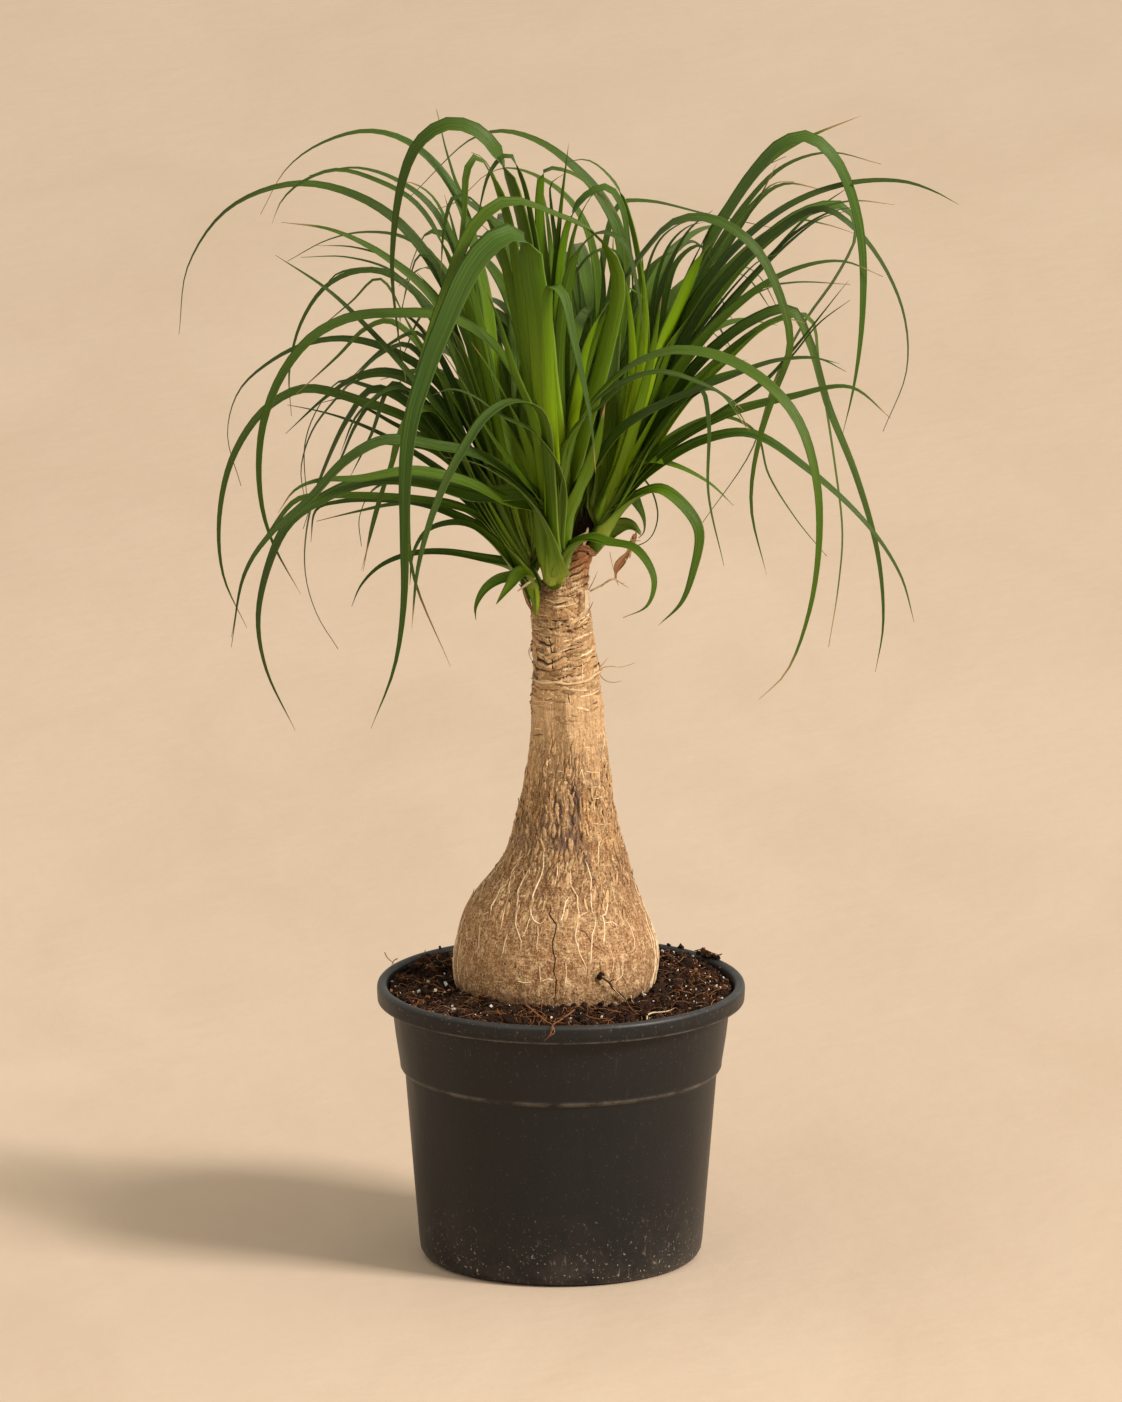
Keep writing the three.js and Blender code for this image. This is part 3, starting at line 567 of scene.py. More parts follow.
def mix_spot(across, up):
    """The place on the mix seen at across and up, in millimetres: its depth is found in steps."""
    across, up = np.asarray(across, float), np.asarray(up, float)
    depth = 0 * up
    for _ in range(40):
        high = mix_rise(across / 1000, depth / 1000) * 1000
        depth = 0.6 * depth + 0.4 * (up - high * VIEW_COS) / VIEW_SIN
    return np.stack([across / 1000, depth / 1000, mix_height(across / 1000, depth / 1000)], axis=-1)


def simple_finish(name, dark, light, grain, depth, roughness):
    """Two tones mixed by each item's own tone and a fine grain, with a bump of that grain."""
    finish = Finish(name, Roughness=roughness, Specular_IOR_Level=0.25)
    speckle = finish.cloud(finish.spot(), grain, 4.0, 0.65)
    grainy = finish.times(finish.calc("SUBTRACT", speckle, 0.35), 1.3)
    share = finish.plus(finish.times(finish.mark("tone"), 0.6), grainy, clamp=True)
    finish.base = finish.mixed(share, dark, light)
    return finish.close((speckle, depth))


peat = Finish("damp_peat_and_coir", Roughness=0.92, Specular_IOR_Level=0.2)
spot = peat.spot()
clods = peat.cloud(spot, 260.0, 6.0, 0.65)
fibres = peat.cloud(peat.scaled(spot, 1.0, 0.3, 1.0), 900.0, 4.0, 0.6, 1.5)
warm = peat.cloud(spot, 55.0, 3.0)
peat.base = peat.steps(clods, (0.34, (0.0022, 0.0012, 0.0009)), (0.54, (0.0085, 0.0042, 0.0025)),
                       (0.74, (0.050, 0.020, 0.0085)))
peat.coat((0.15, 0.055, 0.019), fibres, (0.56, 0.0), (0.70, 1.0))
peat.coat((0.085, 0.032, 0.012), warm, (0.5, 0.0), (0.8, 0.4))
settle(make_mix(peat.close((clods, 0.0014), (fibres, 0.0006))), "potting_mix", "potting_mix")

# The largest bits by the rim and the bulb, in millimetres: across, up, depth and size.
BITS_SEEN = [
    (71, 155.3, 54, 2.6), (73.5, 155.4, 52, 2.9), (76, 154.6, 50, 2.8), (78.5, 153.8, 47.5, 2.4),
    (80.5, 152.8, 45, 1.8), (62, 158.6, 69, 2.1), (60.6, 158.3, 70, 1.5), (55.4, 159.8, 74, 1.5),
    (-62.3, 158.3, 68, 1), (20, 143.6, -48.6, 2.3), (21.4, 144.6, -48.2, 1.7),
]
crumb_brown = simple_finish("peat_crumbs", (0.003, 0.0015, 0.0010), (0.046, 0.018, 0.007), 700.0,
                            0.0004, 0.9)
places, rng = scatter_on_mix(1600, 21, outer=0.0875)
sizes = np.minimum(rng.gamma(2.0, 0.00058, len(places)) + 0.0004, 0.0036)
places[:, 2] += 0.25 * sizes
across, up, depth, size = np.array(BITS_SEEN).T
places = np.vstack([places, place_seen(across, up, depth)])
sizes = np.concatenate([sizes, size / 1000])
settle(lumps_at("peat_crumbs", places, sizes, 22, crumb_brown, 0.75), "potting_mix", "potting_mix")

rust_brown = simple_finish("coir_dust", (0.028, 0.009, 0.0035), (0.40, 0.165, 0.062), 700.0, 0.0003, 0.9)
places, rng = scatter_on_mix(1000, 25, inner=0.062, outer=0.0880)
sizes = rng.gamma(2.0, 0.00017, len(places)) + 0.0002
places[:, 2] += 0.5 * sizes
settle(lumps_at("coir_dust", places, np.minimum(sizes, 0.0012), 26, rust_brown), "potting_mix",
       "potting_mix")

# The grains that stand out, in millimetres: across, up and size.
GRAINS_SEEN = [
    (-68.6, 138.4, 1.5), (-59.4, 136.7, 1.5), (-57.8, 135.4, 1.2), (-64.7, 133.1, 1.5), (-56.1, 126.9, 1.2),
    (-55.1, 124.3, 1.8), (-51.8, 136.1, 0.8), (-51.8, 132.8, 0.9), (-36.3, 126.9, 1.6), (-37.9, 128.1, 1),
    (-41.3, 122.6, 1), (-34.4, 122.6, 1.2), (-18.4, 129.2, 0.9), (-15.2, 130.7, 0.9), (-70.5, 154.1, 1),
    (-65.3, 154.6, 1.1), (-67.6, 148.6, 0.9), (-72.9, 152.9, 0.9), (-73.4, 132.8, 1.2), (-85.3, 135.9, 1.3),
    (-79.1, 140.5, 0.8), (-87.3, 138.9, 0.8), (-76, 133.3, 0.7), (-66.2, 126.6, 0.8), (-44, 121.9, 0.6),
    (52.4, 152.2, 1.6), (70.8, 153, 1.2), (68.5, 150.9, 1), (58.4, 153.1, 1), (60.5, 153.5, 1),
    (82.5, 146.5, 1), (82.2, 143.6, 0.9), (80.1, 136.5, 1.4), (69.8, 133.6, 0.9), (76.2, 133.4, 0.9),
    (64.5, 130.3, 0.7), (61, 139.5, 0.8), (64.6, 136.7, 0.8), (52.3, 144.8, 0.6), (42.9, 132.5, 1.7),
    (32.2, 122.9, 1.2), (21.1, 122.7, 1.4), (11, 122.2, 1.8), (68.5, 126.9, 0.8), (48.2, 137.4, 0.8),
    (40.4, 130.2, 0.9), (26.5, 134.6, 0.9), (16.2, 127.6, 0.7), (74.4, 138.9, 0.7), (55.4, 129.7, 0.6),
    (46.1, 128.6, 0.5),
]
perlite_white = simple_finish("perlite_grains", (0.55, 0.48, 0.38), (0.95, 0.93, 0.88), 900.0, 0.0003, 0.85)
across, up, seen_size = np.array(GRAINS_SEEN).T
seen_places = mix_spot(across, up)
places, rng = scatter_on_mix(240, 31)
sizes = np.minimum(rng.gamma(1.6, 0.00014, len(places)) + 0.0002, 0.0010)
places = np.vstack([places, seen_places])
sizes = np.concatenate([sizes, 0.72 * seen_size / 1000])
places[:, 2] += 1.2 * sizes
settle(lumps_at("perlite_grains", places, sizes, 32, perlite_white), "potting_mix", "potting_mix")

coir_brown = simple_finish("coir_fibres", (0.065, 0.021, 0.007), (0.50, 0.22, 0.080), 500.0, 0.0001, 0.8)
places, rng = scatter_on_mix(680, 41, outer=0.0875)
paths = []
radii = []
for place in places:
    bearing = rng.uniform(0, 2 * np.pi)
    heading = np.array([math.cos(bearing), math.sin(bearing), rng.normal(0, 0.12)])
    length = rng.gamma(3.0, 0.0028) + 0.002
    end = place + heading * length
    over_the_wall = np.hypot(end[0], end[1]) > FIBRE_REACH
    if over_the_wall or np.hypot(end[0] + 0.003, end[1]) < 0.051:
        heading[:2] = -heading[:2] if over_the_wall else place[:2] / np.hypot(*place[:2])
        length *= 0.5
    paths.append(curly_fibre(place, heading, length, rng.uniform(0.0002, 0.0030), rng))
    radii.append(0.00008 + rng.gamma(1.6, 0.00004))
settle(strands("coir_fibres", paths, radii, coir_brown), "potting_mix", "potting_mix")

# The roots and twigs that stand out on the photo's side: a forked rusty root that hangs over the
# front rim, a dark twig that leans on the bulb, and pale root ends by the right rim.
# Each row is a radius, then across, up and depth of the places from end to end, in millimetres.
FIBRES_SEEN = [
    (0.50, (-18.3, 128.9, -49, -12.7, 124.3, -63, -7.2, 119.9, -84, -4.2, 117.7, -95.3, -5.5, 113.2, -96.4,
        -8.1, 110.8, -96.5)),
    (0.46, (7, 126.2, -62, 2.8, 123, -71, -1.3, 120.2, -85, -4.4, 118, -95.6, -6.2, 112.7, -96.7,
        -8.8, 110.1, -96.6)),
    (0.26, (-4.4, 118, -95.4, -3.4, 114.6, -96.2, -6, 112.4, -96.8)),
    (0.26, (-2, 120.4, -80, 0.4, 119.2, -88, 3.2, 119.4, -92)),
    (0.44, (33.7, 130.7, -39, 36, 126.9, -48, 39.4, 124.1, -57, 44.3, 122.7, -63)),
    (0.26, (-90.9, 155.8, 33, -89.6, 153.2, 32, -86.7, 150.5, 31, -84.8, 148.4, 30)),
    (0.26, (-84.2, 152.6, 34, -86.3, 151.3, 33, -87.3, 148.7, 32)),
    (0.30, (-60.5, 146.7, 32, -58.5, 148.7, 38, -56.1, 151.8, 42)),
    (0.36, (56.4, 149.6, 42, 61.6, 147.8, 35, 67.7, 146.6, 31, 74.4, 143.4, 19, 80.1, 141.8, 12)),
    (0.34, (69, 156.6, 57, 73, 157.3, 54, 77, 155.9, 50, 81.5, 153.4, 45)),
    (0.34, (71, 155.6, 55, 75, 156.3, 52, 79, 155.2, 48, 82.5, 154.2, 44)),
    (0.30, (74, 158.4, 53, 74.6, 156.6, 52, 77, 154.6, 50)),
    (0.30, (83, 155, 43, 80.5, 154.2, 45, 77.5, 153.2, 48)),
    (0.34, (12, 124, -61, 15, 122.4, -71, 19, 121.6, -76, 25, 121.8, -76)),
    (0.28, (-26, 124.4, -59, -22, 123.2, -65, -17.5, 122.6, -69, -12, 123, -69)),
    (0.28, (-33, 125.6, -55, -30.5, 123.4, -63, -27.5, 122.2, -69)),
]
PALE_ROOTS = [
    (0.50, (44.3, 121.4, -66, 44.6, 123.4, -59, 47, 124.6, -56, 51.8, 125, -54, 55.4, 125.6, -50,
        58.4, 127, -44)),
    (0.30, (22.4, 142, -48, 26, 138.4, -47, 28.6, 135.5, -45, 33.5, 130.6, -39)),
    (0.26, (36, 133.6, -33, 36.4, 131.2, -37, 37.8, 129.4, -41)),
    (0.24, (41.8, 136, -26, 42.4, 133.4, -31)),
]
DARK_TWIGS = [
    (0.62, (19.4, 143.6, -48.4, 21.9, 142.2, -48.6, 24.9, 140.2, -47.6, 27, 136.8, -46, 30.4, 134.7, -43,
        34.6, 129.9, -38)),
    (0.36, (24.9, 140.2, -47.6, 26.6, 141.6, -48.5, 28.4, 141.4, -48.6)),
]


def traced_strands(name, table, material, rows=26):
    """Strands from rows of a thickness and places seen: across, up and depth, in millimetres."""
    paths = []
    for _, flat in table:
        across, up, depth = np.reshape(flat, (-1, 3)).T
        paths.append(curve_through(place_seen(across, up, depth), rows))
    return strands(name, paths, [radius / 1000 for radius, _ in table], material, 6)


root_pale = simple_finish("pale_root_ends", (0.42, 0.27, 0.14), (0.90, 0.70, 0.46), 500.0, 0.0001, 0.8)
twig_dark = simple_finish("dark_twig", (0.018, 0.009, 0.005), (0.10, 0.05, 0.024), 500.0, 0.0002, 0.85)
settle(traced_strands("rusty_roots", FIBRES_SEEN, coir_brown), "potting_mix", "potting_mix")
settle(traced_strands("pale_root_ends", PALE_ROOTS, root_pale), "potting_mix", "potting_mix")
settle(traced_strands("dark_twig", DARK_TWIGS, twig_dark), "potting_mix", "potting_mix")

# The trunk: a corky bulb that stores water, drawn up into a slim stem with the ring scars of the
# leaves it shed, all grown as one piece. Thin pale ridges net the bulb, the shoulder and the rings
# flake, and a short neck leans to the right under the crown.
BARK_SIDES = 280
BARK_ROWS = 250
BARK_FOOT = 0.130
BULB_TOP = 0.229
BARK_TOP = 0.362
BULB_RADIUS = 0.05
SCALES_ROUND = 56
SCALE_RISE = 0.0125
RING_SPACING = 0.0050
NECK_SIDES = 120
# The trunk by height: the height, its middle across and its radius, in millimetres.
TRUNK_STATIONS = [
    (130, -3, 46), (137, -3, 49.6), (144, -3, 50.9), (150.5, -3, 51.9), (159.5, -2.7, 52),
    (168, -2.1, 50.8), (177, -2.1, 48.7), (186, -2, 45.3), (195, -1.3, 40.4), (204, 1, 35.4),
    (212, 2.5, 31.9), (221, 3.1, 28.6), (239, 3.5, 24.4), (256, 3.4, 21.2), (274, 3.9, 19),
    (292, 3.3, 17.9), (310, 2.3, 16.9), (324, 1, 15.7), (335, 0.6, 15.2), (347, 0.1, 14.4), (355, 0.5, 12),
    (360, 1.2, 8.5), (362, 2, 4),
]
# The old wound's ovals in millimetres: across, height, half their width and height, and strength.
SCAR_SPOTS = [
    (-1.7, 240, 2.8, 11, 1), (6.8, 241, 3.2, 16, 1), (2, 226, 10, 7, 0.8), (-9, 233, 3, 9, 0.6),
    (-19, 226, 8, 10, 0.45), (12, 219, 4, 8, 0.5),
]
trunk_line = curve_through(np.array(TRUNK_STATIONS, float)[:, [2, 0, 1]] / 1000, 900)
trunk_run = length_so_far(trunk_line[:, :2])


def trunk_profile(height):
    """The trunk's radius, the place of its middle across, and the length along it, at a height."""
    radius, high, middle = trunk_line.T
    return (np.interp(height, high, radius), np.interp(height, high, middle),
            np.interp(height, high, trunk_run))


def bark_scales(place, bearing, run):
    """Scales are the cells of a slanted lattice that winds round the shoulder.

    It gives each scale's own stand from -1 to 1, how far a place lies inside its scale, and the
    gap round it, which falls away as a bell curve.
    """
    warp = 0.9 * noise(place, 0.012, 63)
    round_about = bearing / (2 * np.pi) * SCALES_ROUND + 0.5 * noise(place, 0.006, 70)
    climb = run / SCALE_RISE
    first = round_about + climb + warp
    second = round_about - climb + 0.6 * warp
    one, two = np.floor(first), np.floor(second)
    rim = np.minimum(np.minimum(first - one, 1 - first + one), np.minimum(second - two, 1 - second + two))
    row = (one - two).astype(np.int64)
    stand_out = scramble(row, (one % SCALES_ROUND).astype(np.int64), 0 * row, 64)
    gap = np.exp(-(rim / 0.10) ** 2) * (stand_out > -0.55)
    return stand_out, smooth_between(rim, 0.03, 0.16), gap


def ring_scars(place, bearing, height, radius, run):
    """Ring scars are a saw along the trunk, tilted and bent, and closer together at the top.

    It gives each tooth, which rises as a square and drops at its end, the slit under it, the pale
    lip on it, and the broken arcs in which a ring shows.
    """
    spacing = RING_SPACING - 0.0017 * smooth_between(height, 0.330, 0.344)
    turn = np.cos(bearing) + 0.38
    front = np.where(turn > 0, 0.30 * turn, -0.12 * turn)
    bent = np.where(np.sin(bearing) < 0, front, 0.19 + 0.136 * turn)
    count = (run - bent * radius * smooth_between(height, 0.27, 0.30)) / spacing
    count = count + 0.28 * noise(place, 0.030, 55) + 0.13 * noise(place, 0.0085, 56)
    ring = np.floor(count)
    phase = count - ring
    arc = round_place(0.02, bearing, 0.013 * ring)
    broken = smooth_between(noise(arc, 0.012, 57), -0.22, 0.22)
    thick = 0.10 + 0.05 * noise(arc, 0.02, 65)
    tooth = phase ** 2 * (1 - smooth_between(phase, 0.88, 1.0))
    slit = np.exp(-(np.minimum(phase, 1 - phase) / thick) ** 2)
    lip = smooth_between(phase, 0.45, 0.72) * (1 - smooth_between(phase, 0.78, 0.92))
    lip = lip * smooth_between(noise(arc + 0.3, 0.006, 66), -0.5, 0.3)
    return tooth, slit, lip, broken


def old_wound(place, bearing, height, radius):
    """The dark hollows of an old wound: ovals with ragged edges on the front of the shoulder."""
    across = trunk_profile(height)[1] + radius * np.cos(bearing)
    rough = 0.35 * noise(place * (1, 1, 0.3), 0.0035, 71, 2) + 2.0 * (np.sin(bearing) > -0.1)
    scar = 0 * height
    for middle, level, half, tall, share in SCAR_SPOTS:
        far = np.hypot((across * 1000 - middle) / half, (height * 1000 - level) / tall)
        scar = np.maximum(scar, share * (1 - smooth_between(far + rough, 0.55, 1.15)))
    return scar


def bark_form(bearing, height):
    """How far the bark stands out from the trunk's smooth profile, and the values for its finish.

    It is the sum of ribs (noise drawn out along the trunk), scales, ring scars and old wounds. Each
    has its own stretch of the trunk, where its share eases in and out.
    """
    radius, _, run = trunk_profile(height)
    place = round_place(BULB_RADIUS, bearing, run)
    bulb = 1 - smooth_between(height, 0.180, 0.225)
    scaly = smooth_between(height, 0.172, 0.212) * (1 - 0.75 * smooth_between(height, 0.262, 0.292))
    stem = smooth_between(height, 0.250, 0.290)
    crown = smooth_between(height, 0.290, 0.312)
    push = 0.0012 * noise(place, 0.028, 51) + 0.0006 * noise(place * (1, 1, 0.2), 0.008, 52, 2)
    push += 0.0004 * bulb * noise(place, 0.0042, 53, 2)
    push += 0.0008 * stem * noise(place * (0.5, 0.5, 1), 0.009, 54)
    push += 0.0007 * scaly * noise(place * (1, 1, 0.3), 0.0045, 62, 2)
    stand_out, body, gap = bark_scales(place, bearing, run)
    push += scaly * (0.00042 * stand_out * body - 0.00055 * gap)
    tooth, slit, lip, broken = ring_scars(place, bearing, height, radius, run)
    scarred = (0.22 * stem + 0.78 * crown) * (0.12 + 0.88 * broken)
    push += scarred * (0.0010 * tooth - 0.0011 * slit)
    cracks = 0.7 * scaly * gap * smooth_between(noise(place, 0.014, 67), -0.5, 0.3)
    wound = old_wound(place, bearing, height, radius)
    return push - 0.0009 * wound, {
        "bark_place": place, "ring_groove": np.maximum(scarred * slit, cracks), "ring_lip": scarred * lip,
        "flake_tone": 0.5 + 0.5 * stand_out * scaly, "old_wound": wound}


def on_bark(bearing, height, proud=0.0):
    """Points on the bark at a bearing and height, and how the surface faces there."""
    radius, middle, _ = trunk_profile(height)
    push = bark_form(bearing, height)[0] * smooth_between(radius, 0.004, 0.014)
    step = 0.0008
    slope = (trunk_profile(height + step)[0] - trunk_profile(height - step)[0]) / (2 * step)
    facing = round_place(1.0, bearing, -np.clip(slope, -3, 3))
    facing /= np.linalg.norm(facing, axis=-1, keepdims=True)
    points = round_place(radius + push, bearing, height)
    points[..., 0] += middle
    return points + facing * np.asarray(proud)[..., None], facing


def bark_spot(across, up):
    """The bearing and height of the place on the trunk's front seen at across and up, in metres."""
    height = up / VIEW_COS
    for _ in range(30):
        radius, middle, _ = trunk_profile(height)
        side = np.clip((across - middle) / radius, -0.995, 0.995)
        depth = -radius * np.sqrt(1 - side ** 2)
        height = 0.5 * height + 0.5 * (up - depth * VIEW_SIN) / VIEW_COS
    return np.arctan2(depth, across - middle), height


def flat_marks(marks):
    """The values of a grid of points, one row for each point."""
    return {name: values.reshape(-1, 3) if values.ndim == 3 else values.ravel()
            for name, values in marks.items()}


def make_bark(name, heights, material, closed_low, closed_high):
    """One length of the trunk: a grid of bearing and height, closer together on the front."""
    even = np.linspace(0, 2 * np.pi, BARK_SIDES, endpoint=False)
    bearing, height = np.meshgrid(np.mod(even + np.pi / 2 + 0.35 * np.sin(even), 2 * np.pi), heights)
    points, _ = on_bark(bearing, height)
    faces = tube_faces(len(heights), BARK_SIDES, closed_low, closed_high)
    return new_piece(name, points, faces, material, marks=flat_marks(bark_form(bearing, height)[1]))


def make_neck(material):
    """The short neck: a tube on a bent line from inside the trunk's top to the right head.

    Its radius is read between stations. Tilted ring scars push it out as the square of the way from
    ring to ring and cut it back as a bell curve where they meet, and a fine noise roughens it.
    """
    t = np.linspace(0, 1, NECK_SIDES)
    path = np.stack([np.interp(t, [0, 0.35, 0.6, 0.85, 1], [2, 4.5, 7.0, 9.6, 11.5]),
                     np.interp(t, [0, 1], [-1.5, 2.5]), np.interp(t, [0, 1], [336, 377])], axis=1) / 1000
    wide = np.interp(t, [0, 0.3, 0.55, 0.75, 0.9, 1], [12.6, 9.8, 7.6, 6.4, 6.6, 4.2]) / 1000
    centre = path[:, None]
    away = (tube_rings(path, wide, NECK_SIDES) - centre) / wide[:, None, None]
    spot = away * 0.014 + np.array([0.2, 0, 0]) + (t * 0.045)[:, None, None] * np.array([0, 0, 1])
    count = t[:, None] * 9.5 + 0.55 * noise(spot, 0.02, 58) + 0.2 * noise(spot, 0.006, 68)
    count = count - 1.5 * away[..., 0]
    ring = np.floor(count)
    phase = count - ring
    broken = smooth_between(noise(away * 0.016 + ring[..., None] * 0.013, 0.012, 69), -0.4, 0.15)
    slit = broken * np.exp(-(np.minimum(phase, 1 - phase) / 0.12) ** 2)
    tooth = phase ** 2 * (1 - smooth_between(phase, 0.86, 1.0))
    push = broken * 0.0010 * tooth - 0.0010 * slit + 0.0007 * noise(spot, 0.006, 59, 2)
    points = centre + away * (wide[:, None] + push)[..., None]
    lip = broken * smooth_between(phase, 0.5, 0.75) * (1 - smooth_between(phase, 0.75, 0.92))
    marks = {"bark_place": spot + np.array([0, 0, 0.3]), "ring_groove": slit,
             "ring_lip": 0.8 * lip * (noise(spot, 0.007, 60) > -0.1), "flake_tone": 0.5 + 0 * slit,
             "old_wound": 0 * slit}
    return new_piece("trunk_neck", points, tube_faces(NECK_SIDES, NECK_SIDES), material,
                     marks=flat_marks(marks))


bark = Finish("ponytail_bark", Roughness=0.82, Specular_IOR_Level=0.25)
spot = bark.spot()
place = bark.mark("bark_place", "Vector")
high = bark.times(bark.parts(spot)[2], 2.5)
on_bulb = bark.steps(high, (0.50, 1.0), (0.60, 0.0))
on_shoulder = bark.steps(high, (0.44, 0.0), (0.53, 1.0), (0.64, 1.0), (0.72, 0.0))
on_rings = bark.steps(high, (0.72, 0.0), (0.78, 1.0))
broad = bark.cloud(spot, 42.0, 4.0, 0.6)
grain = bark.cloud(bark.scaled(place, 1.0, 1.0, 0.20), 560.0, 5.0, 0.65)
blotch = bark.cloud(spot, 210.0, 5.0, 0.7)
pits = bark.cloud(spot, 1000.0, 3.0, 0.6)
streaks = bark.cloud(bark.scaled(place, 1.0, 1.0, 0.28), 300.0, 5.0, 0.7, 0.6)
wrinkle = bark.cloud(bark.scaled(place, 1.0, 1.0, 4.5), 240.0, 4.0, 0.6, 0.4)
bands = bark.cloud(bark.scaled(place, 1.0, 1.0, 3.0), 95.0, 4.0, 0.6, 0.5)
bend = bark.add("TexNoise", {"Vector": place, "Scale": 120.0, "Detail": 3.0}).node.outputs["Color"]
warped = bark.add("VectorMath", {0: place, 1: bark.scaled(bend, 0.004, 0.004, 0.004)}, operation="ADD")
cells = bark.add("TexVoronoi", {"Vector": bark.scaled(warped, 230.0, 230.0, 170.0), "Scale": 1.0},
                 feature="DISTANCE_TO_EDGE").node.outputs["Distance"]
cell_patches = bark.steps(bark.cloud(place, 150.0, 3.0), (0.50, 0.0), (0.64, 0.5))
sunk = bark.calc("SUBTRACT", 0.66, bark.mark("flake_tone"), clamp=True)
wound_tone = bark.mixed(bark.steps(streaks, (0.42, 0.0), (0.60, 1.0)), (0.055, 0.030, 0.024),
                        (0.26, 0.165, 0.115))
soil_stain_and_shade = bark.plus(high, bark.times(blotch, 0.05))
# Over the three browns lie the bulb's grey, the sunk scales, the grain, blotches and pits, the
# streaks and cells, the bulb's wrinkles, the pale stem, the rings, the wound, and the foot's soil
# stain with painted contact shadow.
bark.base = bark.steps(broad, (0.25, (0.52, 0.280, 0.112)), (0.5, (0.70, 0.41, 0.180)),
                       (0.75, (0.84, 0.55, 0.272)))
bark.coat((0.40, 0.225, 0.112), on_bulb, by=(0.70,))
bark.coat((0.19, 0.088, 0.032), bark.times(sunk, 1.05, clamp=True))
bark.coat((0.20, 0.095, 0.034), grain, (0.36, 0.88), (0.56, 0.0))
bark.coat((0.90, 0.66, 0.38), blotch, (0.53, 0.0), (0.68, 0.75))
bark.coat((0.27, 0.112, 0.034), blotch, (0.31, 0.75), (0.45, 0.0))
bark.coat((0.075, 0.034, 0.013), pits, (0.34, 0.95), (0.45, 0.0))
bark.coat((0.95, 0.72, 0.45), pits, (0.57, 0.0), (0.70, 0.7))
bark.coat((0.13, 0.068, 0.034), streaks, (0.36, 0.62), (0.52, 0.0), by=(on_shoulder,))
bark.coat((0.80, 0.58, 0.34), cells, (0.02, 1.0), (0.07, 0.0), by=(cell_patches,))
bark.coat((0.78, 0.55, 0.31), wrinkle, (0.56, 0.0), (0.66, 0.42), by=(on_bulb,))
bark.coat((0.20, 0.10, 0.045), wrinkle, (0.34, 0.55), (0.43, 0.0), by=(on_bulb,))
bark.coat((0.90, 0.62, 0.35), high, (0.60, 0.0), (0.72, 0.42), (0.80, 0.42), (0.86, 0.1))
bark.coat((0.40, 0.185, 0.068), bands, (0.49, 0.0), (0.60, 0.62), by=(on_rings,))
bark.coat((0.92, 0.72, 0.45), bark.mark("ring_lip"))
bark.coat((0.075, 0.032, 0.012), bark.times(bark.mark("ring_groove"), 1.2, clamp=True))
bark.coat(wound_tone, bark.mark("old_wound"), by=(0.93,))
# The foot darkens close to the mix: a soil stain and a painted contact shadow.
bark.coat((0.045, 0.022, 0.010), soil_stain_and_shade, (0.372, 0.80), (0.402, 0.0))
bark.coat((0.33, 0.115, 0.045), high, (0.900, 0.0), (0.922, 0.75))
ponytail_bark = bark.close((blotch, 0.0009), (grain, 0.0009), (pits, 0.00035))

low_run, seam_run, high_run = np.interp([BARK_FOOT, BULB_TOP, BARK_TOP], trunk_line[:, 1], trunk_run)
bulb_heights = np.interp(np.linspace(low_run, seam_run, BARK_ROWS), trunk_run, trunk_line[:, 1])
stem_heights = np.interp(np.linspace(seam_run, high_run, BARK_ROWS), trunk_run, trunk_line[:, 1])
stem_heights[0] = bulb_heights[-1]
settle(make_bark("palm_bulb", bulb_heights, ponytail_bark, True, False), "bark", "trunk")
settle(make_bark("palm_stem", stem_heights, ponytail_bark, False, True), "bark", "trunk")
settle(make_neck(ponytail_bark), "bark", "trunk")

